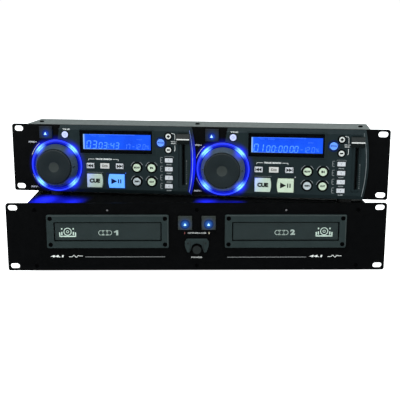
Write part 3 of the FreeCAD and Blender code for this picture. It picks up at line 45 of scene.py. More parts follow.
# Two local frames in millimetres: the transport unit's panel, and the control
# unit's, which stands askew on the cover.
YAW = math.radians(7.855)
PLAYER = Matrix.Translation((0, -0.115119, 0.008)) @ Matrix.Scale(0.001, 4)
CONTROL = (Matrix.Translation((-0.001198, -0.093904, 0.102265)) @ Matrix.Rotation(-YAW, 4, "Z")
           @ Matrix.Scale(0.001, 4))
DECKS = {1: -181.1, 2: 35.4}
JOG_Z = 35.3

# ---------------------------------------------------------------- camera, studio


def set_camera():
    pitch, yaw, roll = (math.radians(a) for a in (12.342, 0.811, 0.104))
    forward = Vector((math.sin(yaw) * math.cos(pitch), math.cos(yaw) * math.cos(pitch), -math.sin(pitch)))
    right = Vector((math.cos(yaw), -math.sin(yaw), 0))
    up = right.cross(forward)
    r2 = math.cos(roll) * right + math.sin(roll) * up
    u2 = -math.sin(roll) * right + math.cos(roll) * up
    m = Matrix((r2, u2, -forward)).transposed().to_4x4()
    m.translation = (-0.00942, -1.06081, 0.30714)
    data = bpy.data.cameras.new("camera")
    data.lens = 69.09
    data.sensor_width = 36
    data.clip_start, data.clip_end = 0.05, 60
    cam = bpy.data.objects.new("camera", data)
    cam.matrix_world = m
    scene.collection.objects.link(cam)
    scene.camera = cam


def link(nt, a, b):
    nt.links.new(a, b)


def set_world():
    """White studio all round; the part below the floor's level is dark, and only glossy rays reach it."""
    world = bpy.data.worlds.new("studio")
    scene.world = world
    world.use_nodes = True
    nt = world.node_tree
    bg = nt.nodes["Background"]
    tc = nt.nodes.new("ShaderNodeTexCoord")
    sep = nt.nodes.new("ShaderNodeSeparateXYZ")
    ramp = nt.nodes.new("ShaderNodeValToRGB")
    span = nt.nodes.new("ShaderNodeMapRange")
    span.inputs["From Min"].default_value = -1
    span.inputs["From Max"].default_value = 1
    link(nt, tc.outputs["Generated"], sep.inputs[0])
    link(nt, sep.outputs["Z"], span.inputs["Value"])
    link(nt, span.outputs[0], ramp.inputs[0])
    e = ramp.color_ramp.elements
    e[0].position, e[0].color = 0.0, (0.004, 0.004, 0.004, 1)
    e[1].position, e[1].color = 1.0, (0.60, 0.65, 0.66, 1)
    for pos, c in ((0.455, (0.004, 0.004, 0.004, 1)), (0.492, (1.0, 1.0, 1.0, 1)), (0.535, (1.0, 1.0, 1.0, 1)), (0.565, (0.90, 1.0, 0.985, 1)), (0.72, (0.90, 1.0, 0.985, 1))):
        n = e.new(pos)
        n.color = c
    link(nt, ramp.outputs[0], bg.inputs["Color"])
    bg.inputs["Strength"].default_value = 1.02


def area_light(name, place, target, size, power, colour=(1, 1, 1), glossy=True):
    data = bpy.data.lights.new(name, "AREA")
    data.shape = "RECTANGLE"
    data.size, data.size_y = size
    data.energy = power
    data.color = colour
    o = bpy.data.objects.new(name, data)
    o.location = place
    o.rotation_euler = (Vector(target) - Vector(place)).to_track_quat("-Z", "Y").to_euler()
    o.visible_camera = False
    o.visible_glossy = glossy
    scene.collection.objects.link(o)
    return o


def set_studio():
    bm = bmesh.new()
    bmesh.ops.create_circle(bm, cap_ends=True, radius=26.0, segments=96)
    data = bpy.data.meshes.new("floor")
    bm.to_mesh(data)
    bm.free()
    floor = bpy.data.objects.new("floor", data)
    floor.location = (0, 0, -0.0002)
    scene.collection.objects.link(floor)
    m = bpy.data.materials.new("floor_paper_shadow_washout")
    m.use_nodes = True
    b = m.node_tree.nodes["Principled BSDF"]
    b.inputs["Base Color"].default_value = (0.86, 0.86, 0.86, 1)
    b.inputs["Emission Color"].default_value = (1, 1, 1, 1)
    b.inputs["Emission Strength"].default_value = 0.36
    b.inputs["Roughness"].default_value = 0.9
    b.inputs["Specular IOR Level"].default_value = 0.0
    data.materials.append(m)
    nt = m.node_tree
    tc = nt.nodes.new("ShaderNodeTexCoord")
    sep = nt.nodes.new("ShaderNodeSeparateXYZ")
    link(nt, tc.outputs["Object"], sep.inputs[0])
    # painted light: the floor's emission rises from 0.36 to 1.0 towards the units and stays full under and behind them,
    # washing out their cast shadow
    near = remap(nt, sep.outputs["Y"], 0.36, 1.0, -0.24, -0.175)
    link(nt, near, nt.nodes["Principled BSDF"].inputs["Emission Strength"])
    floor.visible_glossy = False
    flag = bpy.data.objects.new("flag", bpy.data.meshes.new("flag"))
    bm = bmesh.new()
    bm.faces.new([bm.verts.new(v) for v in ((-0.9, 0.55, 0.0), (0.9, 0.55, 0.0), (0.9, 0.55, 0.262), (-0.9, 0.55, 0.262))])
    bm.to_mesh(flag.data)
    bm.free()
    scene.collection.objects.link(flag)
    m = bpy.data.materials.new("flag_black")
    m.use_nodes = True
    m.node_tree.nodes["Principled BSDF"].inputs["Base Color"].default_value = (0.001, 0.001, 0.001, 1)
    m.node_tree.nodes["Principled BSDF"].inputs["Specular IOR Level"].default_value = 0.0
    flag.data.materials.append(m)
    flag.visible_camera = flag.visible_diffuse = flag.visible_shadow = flag.visible_transmission = False
    area_light("softbox_top", (-0.25, -0.55, 1.7), (0, 0, 0.05), (1.6, 1.2), 17)
    area_light("softbox_left", (-1.5, -1.1, 0.75), (-0.05, -0.05, 0.1), (0.7, 1.2), 6, glossy=True)
    area_light("softbox_right", (1.5, -0.9, 0.7), (0.05, -0.05, 0.1), (0.6, 1.1), 5, glossy=True)


# ------------------------------------------------------------------- finishes


def shader(name):
    m = bpy.data.materials.new(name)
    m.use_nodes = True
    return m, m.node_tree, m.node_tree.nodes["Principled BSDF"]


def noise(nt, coords, size_mm, detail=2.0, rough=0.5):
    n = nt.nodes.new("ShaderNodeTexNoise")
    n.inputs["Scale"].default_value = 1000.0 / size_mm
    n.inputs["Detail"].default_value = detail
    n.inputs["Roughness"].default_value = rough
    link(nt, coords, n.inputs["Vector"])
    return n.outputs["Fac"]


def remap(nt, value, low, high, from_low=0.3, from_high=0.7):
    n = nt.nodes.new("ShaderNodeMapRange")
    n.inputs["From Min"].default_value = from_low
    n.inputs["From Max"].default_value = from_high
    n.inputs["To Min"].default_value = low
    n.inputs["To Max"].default_value = high
    link(nt, value, n.inputs["Value"])
    return n.outputs[0]


def mix(nt, factor, a, b):
    n = nt.nodes.new("ShaderNodeMix")
    n.data_type = "RGBA"
    if hasattr(factor, "is_output"):
        link(nt, factor, n.inputs["Factor"])
    else:
        n.inputs["Factor"].default_value = factor
    for value, socket in ((a, n.inputs[6]), (b, n.inputs[7])):
        if hasattr(value, "is_output"):
            link(nt, value, socket)
        else:
            socket.default_value = (*value[:3], 1)
    return n.outputs[2]


def maths(nt, op, a, b=None):
    n = nt.nodes.new("ShaderNodeMath")
    n.operation = op
    for value, socket in ((a, n.inputs[0]), (b, n.inputs[1])):
        if value is None:
            continue
        if hasattr(value, "is_output"):
            link(nt, value, socket)
        else:
            socket.default_value = value
    return n.outputs[0]


def finish(name, colour, rough, metal=0.0, specular=0.5, grain=None, mottle=0.08, mottle_mm=14, vary=0.06,
           coat=0.0, coat_rough=0.1, glow=None, glow_strength=0.0, brushed=None, scuff=0.0, subsurface=0.0):
    """A painted, moulded or plated surface: colour mottling, uneven gloss and a fine grain in the height.

    grain is (size in mm, height in mm); brushed is the axis the lines run along."""
    m, nt, b = shader(name)
    tc = nt.nodes.new("ShaderNodeTexCoord")
    coords = tc.outputs["Object"]
    if brushed is not None:
        mp = nt.nodes.new("ShaderNodeMapping")
        scale = [1.0, 1.0, 1.0]
        scale[brushed] = 0.04
        mp.inputs["Scale"].default_value = scale
        link(nt, coords, mp.inputs["Vector"])
        fine = mp.outputs[0]
    else:
        fine = coords
    cloud = noise(nt, coords, mottle_mm, 3)
    light = tuple(min(1.0, c * (1 + mottle)) for c in colour[:3])
    dark = tuple(c * (1 - mottle) for c in colour[:3])
    tone = mix(nt, remap(nt, cloud, 0, 1), dark, light)
    if scuff:
        speck = noise(nt, coords, 1.1, 4, 0.7)
        tone = mix(nt, remap(nt, speck, 0, scuff, 0.62, 0.75), tone, tuple(min(1, c * 1.6 + 0.02) for c in colour[:3]))
    link(nt, tone, b.inputs["Base Color"])
    link(nt, remap(nt, noise(nt, coords, 5.0, 3), max(0.02, rough - vary), min(1, rough + vary)), b.inputs["Roughness"])
    b.inputs["Metallic"].default_value = metal
    b.inputs["Specular IOR Level"].default_value = specular
    b.inputs["Coat Weight"].default_value = coat
    b.inputs["Coat Roughness"].default_value = coat_rough
    if subsurface:
        b.inputs["Subsurface Weight"].default_value = subsurface
        b.inputs["Subsurface Radius"].default_value = (0.002, 0.002, 0.002)
    if grain:
        size, height = grain
        bump = nt.nodes.new("ShaderNodeBump")
        bump.inputs["Distance"].default_value = height / 1000.0
        bump.inputs["Strength"].default_value = 1.0
        link(nt, noise(nt, fine, size, 2), bump.inputs["Height"])
        link(nt, bump.outputs[0], b.inputs["Normal"])
    if glow:
        b.inputs["Emission Color"].default_value = (*glow[:3], 1)
        b.inputs["Emission Strength"].default_value = glow_strength
    return m


def lit(name, colour, strength, base=None, rough=0.35, centre=None, place=None, radius=None, edge=None):
    """A surface lit from behind.  With a centre (x, z in a local frame) the light falls off from colour
    to edge over radius, in millimetres."""
    m, nt, b = shader(name)
    b.inputs["Base Color"].default_value = (*(base or tuple(c * 0.5 for c in colour[:3])), 1)
    b.inputs["Roughness"].default_value = rough
    tc = nt.nodes.new("ShaderNodeTexCoord")
    cloud = noise(nt, tc.outputs["Object"], 3.0, 3)
    if centre is None:
        dim = tuple(c * 0.86 for c in colour[:3])
        tone = mix(nt, remap(nt, cloud, 0, 1), dim, colour)
    else:
        c = place @ Vector((centre[0], 0, centre[1]))
        sub = nt.nodes.new("ShaderNodeVectorMath")
        sub.operation = "DISTANCE"
        flat = nt.nodes.new("ShaderNodeVectorMath")
        flat.operation = "MULTIPLY"
        flat.inputs[1].default_value = (1, 0, 1)
        link(nt, tc.outputs["Object"], flat.inputs[0])
        link(nt, flat.outputs[0], sub.inputs[0])
        sub.inputs[1].default_value = (c.x, 0, c.z)
        far = maths(nt, "POWER", remap(nt, sub.outputs["Value"], 0, 1, 0, radius / 1000.0), 0.42)
        tone = mix(nt, far, colour, edge)
    link(nt, tone, b.inputs["Emission Color"])
    b.inputs["Emission Strength"].default_value = strength
    return m


def face_plane(nt, x0, z0):
    """Distances in metres from the point x0, z0 of the control panel, along the panel and upwards."""
    tc = nt.nodes.new("ShaderNodeTexCoord")
    sub = nt.nodes.new("ShaderNodeVectorMath")
    sub.operation = "SUBTRACT"
    sub.inputs[1].default_value = CONTROL @ Vector((x0, 0, z0))
    link(nt, tc.outputs["Object"], sub.inputs[0])
    along = nt.nodes.new("ShaderNodeVectorMath")
    along.operation = "DOT_PRODUCT"
    along.inputs[1].default_value = (math.cos(YAW), -math.sin(YAW), 0)
    link(nt, sub.outputs[0], along.inputs[0])
    sep = nt.nodes.new("ShaderNodeSeparateXYZ")
    link(nt, sub.outputs[0], sep.inputs[0])
    return along.outputs["Value"], sep.outputs["Z"]


def paint_ring_spill(m, decks, rim, reach, level, lamps, colour=(0.004, 0.012, 1.0), inward=False):
    """Painted blue light of the lit rings, as emission on a surface round them: strongest at the rim (mm), gone at
    reach beyond it, and stronger by lamps next to the four lamps."""
    nt = m.node_tree
    b = nt.nodes["Principled BSDF"]
    total = None
    for n in decks:
        x, z = face_plane(nt, DECKS[n], JOG_Z)
        r = maths(nt, "SQRT", maths(nt, "ADD", maths(nt, "MULTIPLY", x, x), maths(nt, "MULTIPLY", z, z)))
        turn = maths(nt, "MULTIPLY", maths(nt, "COSINE", maths(nt, "MULTIPLY", maths(nt, "ARCTAN2", z, x), 4.0)), -1.0)
        near = maths(nt, "POWER", maths(nt, "MAXIMUM", turn, 0.0), 3.0)
        end = rim - reach if inward else rim + reach
        fade = remap(nt, r, 1, 0, rim / 1000, end / 1000) if not inward else remap(nt, r, 0, 1, end / 1000, rim / 1000)
        fade = maths(nt, "POWER", fade, 2.2)
        power = maths(nt, "ADD", maths(nt, "MULTIPLY", near, lamps), level)
        value = maths(nt, "MULTIPLY", fade, power)
        total = value if total is None else maths(nt, "ADD", total, value)
    b.inputs["Emission Color"].default_value = (*colour, 1)
    link(nt, total, b.inputs["Emission Strength"])
    return m


def halo_ring(name, deck):
    """The lit ring: a saturated blue light guide with four lamps behind it, 45 degrees off the axes."""
    m, nt, b = shader(name)
    tc = nt.nodes.new("ShaderNodeTexCoord")
    x, z = face_plane(nt, DECKS[deck], JOG_Z)
    angle = maths(nt, "ARCTAN2", z, x)
    r = maths(nt, "SQRT", maths(nt, "ADD", maths(nt, "MULTIPLY", x, x), maths(nt, "MULTIPLY", z, z)))
    turn = maths(nt, "MULTIPLY", maths(nt, "COSINE", maths(nt, "MULTIPLY", angle, 4.0)), -1.0)
    lamp = maths(nt, "POWER", maths(nt, "MAXIMUM", turn, 0.0), 2.6)
    wide = maths(nt, "POWER", maths(nt, "MAXIMUM", maths(nt, "ADD", maths(nt, "MULTIPLY", turn, 0.5), 0.5), 0.0), 2.0)
    band = nt.nodes.new("ShaderNodeValToRGB")  # across the ring, from its bore to its rim
    link(nt, remap(nt, r, 0, 1, 0.0284, 0.0345), band.inputs[0])
    e = band.color_ramp.elements
    e[0].position, e[0].color = 0.0, (0.0, 0.0001, 0.010, 1)
    e[1].position, e[1].color = 1.0, (0.0, 0.0002, 0.026, 1)
    for pos, col in ((0.16, (0.0001, 0.0008, 0.055, 1)), (0.30, (0.0001, 0.0008, 0.060, 1)), (0.42, (0.0, 0.0003, 0.040, 1)),
                     (0.54, (0.0010, 0.0030, 0.095, 1)), (0.68, (0.0038, 0.0080, 0.24, 1)), (0.78, (0.0028, 0.0060, 0.16, 1)),
                     (0.88, (0.0002, 0.0008, 0.030, 1))):
        e.new(pos).color = col
    core = nt.nodes.new("ShaderNodeValToRGB")  # where the lamps shine through
    link(nt, remap(nt, r, 0, 1, 0.0284, 0.0345), core.inputs[0])
    e = core.color_ramp.elements
    e[0].position, e[0].color = 0.0, (0.15, 0.15, 0.15, 1)
    e[1].position, e[1].color = 1.0, (0.05, 0.05, 0.05, 1)
    for pos, v in ((0.14, 0.8), (0.27, 1.1), (0.42, 0.45), (0.58, 1.2), (0.74, 1.1), (0.88, 0.3)):
        e.new(pos).color = (v, v, v, 1)
    streak = remap(nt, noise(nt, tc.outputs["Object"], 2.2, 3), 0.55, 1.25)
    spot = maths(nt, "MULTIPLY", maths(nt, "MULTIPLY", lamp, core.outputs[0]), streak)
    # the lamps at the upper right and lower left of ring 1, and the two upper ones of ring 2, shine brightest
    skew = maths(nt, "COSINE", maths(nt, "SUBTRACT", maths(nt, "MULTIPLY", angle, 2.0), math.pi / 2)) if deck == 1 else maths(nt, "SINE", angle)
    spot = maths(nt, "MULTIPLY", spot, maths(nt, "ADD", maths(nt, "MULTIPLY", skew, 0.16), 1.05))
    tone = mix(nt, maths(nt, "MINIMUM", spot, 1.0), band.outputs[0], (0.0315, 0.092, 0.19))
    link(nt, tone, b.inputs["Emission Color"])
    power = maths(nt, "ADD", maths(nt, "MULTIPLY", wide, 3.0), 9.0)
    link(nt, power, b.inputs["Emission Strength"])
    b.inputs["Base Color"].default_value = (0.0015, 0.003, 0.04, 1)
    b.inputs["Roughness"].default_value = 0.22
    b.inputs["Specular IOR Level"].default_value = 0.22
    return m


# --------------------------------------------------------------- mesh building


def add_object(name, bm, body, material, smooth=None):
    bmesh.ops.remove_doubles(bm, verts=bm.verts, dist=1e-7)
    bmesh.ops.recalc_face_normals(bm, faces=bm.faces)
    data = bpy.data.meshes.new(name)
    bm.to_mesh(data)
    bm.free()
    for m in material if isinstance(material, (list, tuple)) else [material]:
        data.materials.append(m)
    if smooth is not None:
        data.shade_smooth() if hasattr(data, "shade_smooth") else None
        data.set_sharp_from_angle(angle=math.radians(smooth))
    o = bpy.data.objects.new(name, data)
    scene.collection.objects.link(o)
    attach(o, body)
    return o


class SurfaceMarks:
    """Printed or inlaid marks, and strips of painted highlight, painted shade and painted lamp glow: thin closed solids
    on a front face, drawn in a local frame's x and z.
    """

    def __init__(self, place, y, thick=0.03, sunk=0.02):
        self.bm, self.place = bmesh.new(), place
        self.front, self.back = y - thick, y + sunk

    def poly(self, pts):
        area = sum(a[0] * b[1] - b[0] * a[1] for a, b in zip(pts, pts[1:] + pts[:1]))
        if area < 0:
            pts = pts[::-1]
        near = [self.bm.verts.new(self.place @ Vector((x, self.front, z))) for x, z in pts]
        far = [self.bm.verts.new(self.place @ Vector((x, self.back, z))) for x, z in pts]
        self.bm.faces.new(near)
        self.bm.faces.new(far[::-1])
        n = len(pts)
        for i in range(n):
            j = (i + 1) % n
            self.bm.faces.new((near[j], near[i], far[i], far[j]))
        return self

    def rect(self, x, z, w, h):
        return self.poly([(x - w / 2, z - h / 2), (x + w / 2, z - h / 2), (x + w / 2, z + h / 2), (x - w / 2, z + h / 2)])

    def line(self, a, b, w):
        d = Vector((b[0] - a[0], b[1] - a[1])).normalized()
        n = Vector((-d.y, d.x)) * (w / 2)
        return self.poly([(a[0] - n.x, a[1] - n.y), (b[0] - n.x, b[1] - n.y), (b[0] + n.x, b[1] + n.y), (a[0] + n.x, a[1] + n.y)])

    def path(self, pts, w):
        for a, b in zip(pts, pts[1:]):
            self.line(a, b, w)
        return self

    def arc(self, x, z, r, w, a0, a1, n=None):
        n = n or max(6, int(abs(a1 - a0) / 6))
        inner, outer = [], []
        for i in range(n + 1):
            a = math.radians(a0 + (a1 - a0) * i / n)
            inner.append((x + (r - w / 2) * math.cos(a), z + (r - w / 2) * math.sin(a)))
            outer.append((x + (r + w / 2) * math.cos(a), z + (r + w / 2) * math.sin(a)))
        for i in range(n):
            self.poly([inner[i], inner[i + 1], outer[i + 1], outer[i]])
        return self

    def disc(self, x, z, r, n=36):
        return self.poly([(x + r * math.cos(2 * math.pi * i / n), z + r * math.sin(2 * math.pi * i / n)) for i in range(n)])

    def triangle(self, x, z, w, h, way):
        """A solid arrowhead: way is right, left, up or down."""
        if way in ("right", "left"):
            s = 1 if way == "right" else -1
            return self.poly([(x - s * w / 2, z - h / 2), (x + s * w / 2, z), (x - s * w / 2, z + h / 2)])
        s = 1 if way == "up" else -1
        return self.poly([(x - w / 2, z - s * h / 2), (x + w / 2, z - s * h / 2), (x, z + s * h / 2)])

    def text(self, words, x, z, size, width=None, align="CENTER", bold=0.0, stretch=1.0, lean=0.0, gap=1.0):
        """Plain sans lettering with capitals size high, squeezed or stretched to a width if one is given."""
        curve = bpy.data.curves.new("letters", "FONT")
        curve.body = words
        curve.size = size / 0.729
        curve.align_x = align
        curve.align_y = "CENTER"
        curve.shear = lean
        curve.space_character = gap
        curve.offset = bold * size
        curve.resolution_u = 3
        curve.extrude = (self.back - self.front) / 2
        o = bpy.data.objects.new("letters", curve)
        scene.collection.objects.link(o)
        dg = bpy.context.evaluated_depsgraph_get()
        data = bpy.data.meshes.new_from_object(o.evaluated_get(dg))
        bpy.data.objects.remove(o)
        bpy.data.curves.remove(curve)
        if width:
            xs = [v.co.x for v in data.vertices]
            stretch = width / (max(xs) - min(xs))
            x -= stretch * (max(xs) + min(xs)) / 2
        local = (self.place @ Matrix.Translation((x, (self.front + self.back) / 2, z)) @ Matrix.Rotation(math.pi / 2, 4, "X")
                 @ Matrix.Diagonal((stretch, 1, 1, 1)))
        data.transform(local)
        self.bm.from_mesh(data)
        bpy.data.meshes.remove(data)
        return self

    def digit(self, ch, x, z, w, h, s, lean=0.12, ghost=False):
        """One seven-segment digit with its lower left corner at x, z."""
        on = {"0": "abcdef", "1": "bc", "2": "abged", "3": "abgcd", "4": "fgbc", "5": "afgcd", "6": "afgedc", "7": "abc",
              "8": "abcdefg", "9": "abcdfg", "-": "g", " ": ""}[ch]
        g, t = 0.16 * s, s / 2
        m = h / 2

        def bar(x0, z0, x1, z1):
            if abs(z1 - z0) < 1e-6:
                p = [(x0 + g, z0), (x0 + g + t, z0 - t), (x1 - g - t, z0 - t), (x1 - g, z0), (x1 - g - t, z0 + t), (x0 + g + t, z0 + t)]
            else:
                p = [(x0, z0 + g), (x0 + t, z0 + g + t), (x0 + t, z1 - g - t), (x0, z1 - g), (x0 - t, z1 - g - t), (x0 - t, z0 + g + t)]
            self.poly([(x + px + lean * pz, z + pz) for px, pz in p])

        spots = {"a": (t, h - t, w - t, h - t), "g": (t, m, w - t, m), "d": (t, t, w - t, t), "f": (t, m, t, h - t), "b": (w - t, m, w - t, h - t),
                 "e": (t, t, t, m), "c": (w - t, t, w - t, m)}
        for k in on:
            bar(*spots[k])
        return self

    def done(self, name, body, material, slot=None):
        return add_object(name, self.bm, body, material)


def revolved(name, place, x, z, profile, body, material, n=128, smooth=40, ripple=None):
    """Turns a closed profile of (radius, y) points about the axis through x, z.  ripple(i, angle) scales the radius."""
    bm = bmesh.new()
    rings = []
    for k in range(n):
        a = 2 * math.pi * k / n
        ring = []
        for i, (r, y) in enumerate(profile):
            q = r + (ripple(i, k) if ripple and r > 0 else 0)
            ring.append(bm.verts.new(place @ Vector((x + q * math.cos(a), y, z + q * math.sin(a)))))
        rings.append(ring)
    for k in range(n):
        a, b = rings[k], rings[(k + 1) % n]
        for i in range(len(profile)):
            j = (i + 1) % len(profile)
            if profile[i][0] == 0 and profile[j][0] == 0:
                continue
            bm.faces.new([a[i], a[j], b[j], b[i]])
    bmesh.ops.remove_doubles(bm, verts=bm.verts, dist=1e-7)
    bmesh.ops.dissolve_degenerate(bm, dist=1e-8, edges=bm.edges)
    return add_object(name, bm, body, material, smooth)


def islands(node, place):
    """The separate solids of a CAD node: lists of polygon indices with each one's local box."""
    data = NODES[node].data
    back = place.inverted()
    key, parent = {}, []
    ids = []
    for v in data.vertices:
        k = (round(v.co.x * 1e6), round(v.co.y * 1e6), round(v.co.z * 1e6))
        if k not in key:
            key[k] = len(parent)
            parent.append(len(parent))
        ids.append(key[k])

    def root(i):
        while parent[i] != i:
            parent[i] = parent[parent[i]]
            i = parent[i]
        return i

    for p in data.polygons:
        first = root(ids[p.vertices[0]])
        for v in p.vertices[1:]:
            parent[root(ids[v])] = first
    found = {}
    for p in data.polygons:
        found.setdefault(root(ids[p.vertices[0]]), []).append(p.index)
    out = []
    for polys in found.values():
        co = [back @ data.vertices[v].co for i in polys for v in data.polygons[i].vertices]
        lo = Vector(min(c[k] for c in co) for k in range(3))
        hi = Vector(max(c[k] for c in co) for k in range(3))
        out.append((polys, lo, hi))
    return out


def coat(node, materials, solid_rule=None, face_rule=None, place=PLAYER):
    """Gives a CAD node its finishes: one, or one per separate solid or per face."""
    o = NODES[node]
    materials = materials if isinstance(materials, (list, tuple)) else [materials]
    o.data.materials.clear()
    for m in materials:
        o.data.materials.append(m)
    for p in o.data.polygons:
        p.material_index = 0
    if solid_rule:
        for polys, lo, hi in islands(node, place):
            k = solid_rule(lo, hi)
            for i in polys:
                o.data.polygons[i].material_index = k
    if face_rule:
        back = place.inverted()
        turn = back.to_3x3()
        for p in o.data.polygons:
            k = face_rule(back @ p.center, (turn @ p.normal).normalized(), p.material_index)
            if k is not None:
                p.material_index = k
    return o

# ------------------------------------------------------------- the finishes used

PANEL = finish("panel_black", (0.0012, 0.0014, 0.0017), 0.36, specular=0.09, grain=(0.55, 0.010), mottle=0.15, vary=0.05)
COVER_PAINTED_REFLECTION = finish("cover_black", (0.0015, 0.0015, 0.002), 0.115, specular=0.5, grain=(1.4, 0.0015), mottle=0.15, vary=0.02)
CASE = finish("case_black", (0.008, 0.012, 0.012), 0.38, specular=0.51, grain=(0.5, 0.012), mottle=0.12, vary=0.05)
CASE.node_tree.nodes["Principled BSDF"].inputs["Specular Tint"].default_value = (0.80, 1.0, 0.98, 1)
SLATE = finish("slate_moulded", (0.0145, 0.0215, 0.0215), 0.46, specular=0.25, grain=(0.35, 0.012), mottle=0.07, vary=0.05)
# the fascia finish carries painted blue ring light; the right bevel's copy is bluer and darker with strong painted
# light of ring 2; the top bevel's copy is darker as painted shade
FASCIA_RING_GLOW = finish("fascia_moulded_painted_ring_glow", (0.0075, 0.0130, 0.0150), 0.38, specular=0.28, grain=(0.35, 0.010), mottle=0.07, vary=0.05)
FASCIA_SIDE_GLOW = finish("fascia_bevel_painted_blue_glow", (0.0040, 0.0070, 0.0120), 0.34, specular=0.16, grain=(0.35, 0.008), mottle=0.07, vary=0.05)
FASCIA_TOP_SHADE = finish("fascia_bevel_top_painted_shade", (0.0050, 0.0085, 0.0100), 0.38, specular=0.12, grain=(0.35, 0.010), mottle=0.07, vary=0.05)
for m in (FASCIA_RING_GLOW, FASCIA_SIDE_GLOW, FASCIA_TOP_SHADE, SLATE):
    m.node_tree.nodes["Principled BSDF"].inputs["Specular Tint"].default_value = (0.70, 0.95, 1.0, 1)
DOOR = finish("door_moulded", (0.0150, 0.0235, 0.0240), 0.34, specular=0.27, grain=(0.5, 0.006), mottle=0.06, vary=0.04)
TRAY = finish("tray_moulded", (0.012, 0.012, 0.013), 0.45, specular=0.4, grain=(0.45, 0.015), mottle=0.08)
BLACK = finish("moulded_black", (0.010, 0.010, 0.011), 0.5, specular=0.4, grain=(0.4, 0.015), mottle=0.1)
STEEL = finish("zinc_steel", (0.56, 0.57, 0.58), 0.34, metal=1.0, grain=(0.8, 0.006), mottle=0.10, mottle_mm=9, brushed=0)
ROD = finish("ground_steel", (0.66, 0.66, 0.67), 0.16, metal=1.0, grain=(0.3, 0.002), mottle=0.03, brushed=1)
SCREW_AND_RIM_SHADE = finish("blackened_screw_and_painted_rim_shade", (0.0008, 0.0008, 0.0010), 0.5, metal=0.0, specular=0.02, grain=(0.3, 0.006), scuff=0.04)
RUBBER = finish("foot_rubber", (0.014, 0.014, 0.014), 0.72, specular=0.25, grain=(0.3, 0.03), mottle=0.12)
BOARD = finish("board_green", (0.012, 0.075, 0.035), 0.32, specular=0.5, grain=(1.2, 0.02), mottle=0.25, mottle_mm=3)
CHIP = finish("chip_black", (0.012, 0.012, 0.012), 0.5, specular=0.4, grain=(0.3, 0.008))
CAN = finish("capacitor_can", (0.02, 0.03, 0.09), 0.32, specular=0.5, grain=(0.5, 0.004))
CORE = finish("transformer_core", (0.30, 0.29, 0.27), 0.42, metal=0.8, grain=(0.35, 0.03), brushed=0)
GOLD = finish("gold_plate", (0.83, 0.60, 0.22), 0.22, metal=1.0, grain=(0.5, 0.002), mottle=0.05)
RED = finish("socket_red", (0.45, 0.012, 0.010), 0.4, specular=0.5, grain=(0.5, 0.006))
WHITE = finish("socket_white", (0.70, 0.70, 0.67), 0.4, specular=0.5, grain=(0.5, 0.006))
# key finishes that carry painted light of their lamps on the face round the lens
KEY_GREY_GLOW = {n: finish("key_grey_%d" % n, (0.0180, 0.0240, 0.0215), 0.5, specular=0.34, grain=(0.45, 0.02), mottle=0.14, mottle_mm=4) for n in (1, 2)}
KEY_DARK_GLOW = {n: finish("key_dark_%d" % n, (0.0050, 0.0080, 0.0130), 0.5, specular=0.26, grain=(0.45, 0.02), mottle=0.14, mottle_mm=4) for n in (1, 2)}
KNOB = finish("jog_soft_black", (0.0068, 0.0125, 0.0150), 0.52, specular=0.19, grain=(0.30, 0.010), mottle=0.06)
KNOB_RIM = finish("jog_painted_rim", (0.0080, 0.0125, 0.0145), 0.42, specular=0.24, grain=(0.3, 0.008))
DIMPLE = finish("jog_dimple", (0.022, 0.029, 0.028), 0.48, specular=0.3, grain=(0.25, 0.012))
# the control panel's copy of the black panel finish, which carries painted blue ring light
PANEL_RING_GLOW = finish("panel_black_painted_ring_glow", (0.0012, 0.0014, 0.0017), 0.36, specular=0.09, grain=(0.55, 0.010), mottle=0.15, vary=0.05)
# shuttle rings: the two decks' copies differ in tone as painted light and shade, and both carry painted blue ring light
CONE_SHADE_GLOW_1 = finish("shuttle_painted_shade_and_glow_1", (0.026, 0.044, 0.058), 0.32, specular=0.38, grain=(0.4, 0.006), mottle=0.06)
CONE_LIGHT_GLOW_2 = finish("shuttle_painted_light_and_glow_2", (0.038, 0.056, 0.072), 0.32, specular=0.42, grain=(0.4, 0.006), mottle=0.06)
# the cue keys carry painted blue ring light
CUE_CREAM_GLOW = finish("cue_cream_painted_ring_glow", (0.37, 0.455, 0.385), 0.38, specular=0.45, grain=(0.6, 0.004), mottle=0.04, mottle_mm=6, subsurface=0.15)
CREAM = finish("key_cream", (0.40, 0.485, 0.375), 0.38, specular=0.45, grain=(0.6, 0.004), mottle=0.04, mottle_mm=6, subsurface=0.15,
               glow=(0.62, 0.72, 0.50), glow_strength=0.03)
PEARL = finish("key_pearl", (0.37, 0.41, 0.435), 0.38, specular=0.45, grain=(0.6, 0.004), mottle=0.04, mottle_mm=6, subsurface=0.15)
SILVER = finish("key_silver", (0.53, 0.55, 0.59), 0.30, metal=0.2, specular=0.5, grain=(0.4, 0.004), mottle=0.05, mottle_mm=5)
OYSTER = finish("key_oyster", (0.46, 0.46, 0.45), 0.34, specular=0.5, grain=(0.5, 0.004), mottle=0.05, mottle_mm=5)
WHITE_KEY = finish("key_white", (0.52, 0.54, 0.53), 0.36, specular=0.5, grain=(0.5, 0.004), mottle=0.03, mottle_mm=5)
LILAC = finish("key_lilac", (0.42, 0.47, 0.74), 0.36, specular=0.5, grain=(0.5, 0.004), mottle=0.05, mottle_mm=4,
               glow=(0.45, 0.45, 0.95), glow_strength=0.22)
INK_WHITE = finish("ink_white", (0.62, 0.64, 0.62), 0.5, specular=0.3, mottle=0.06, mottle_mm=2)
INK_GREY = finish("ink_grey", (0.30, 0.31, 0.32), 0.5, specular=0.3, mottle=0.06, mottle_mm=2)
INK_DIM = finish("ink_dim", (0.16, 0.17, 0.175), 0.5, specular=0.3, mottle=0.06, mottle_mm=2)
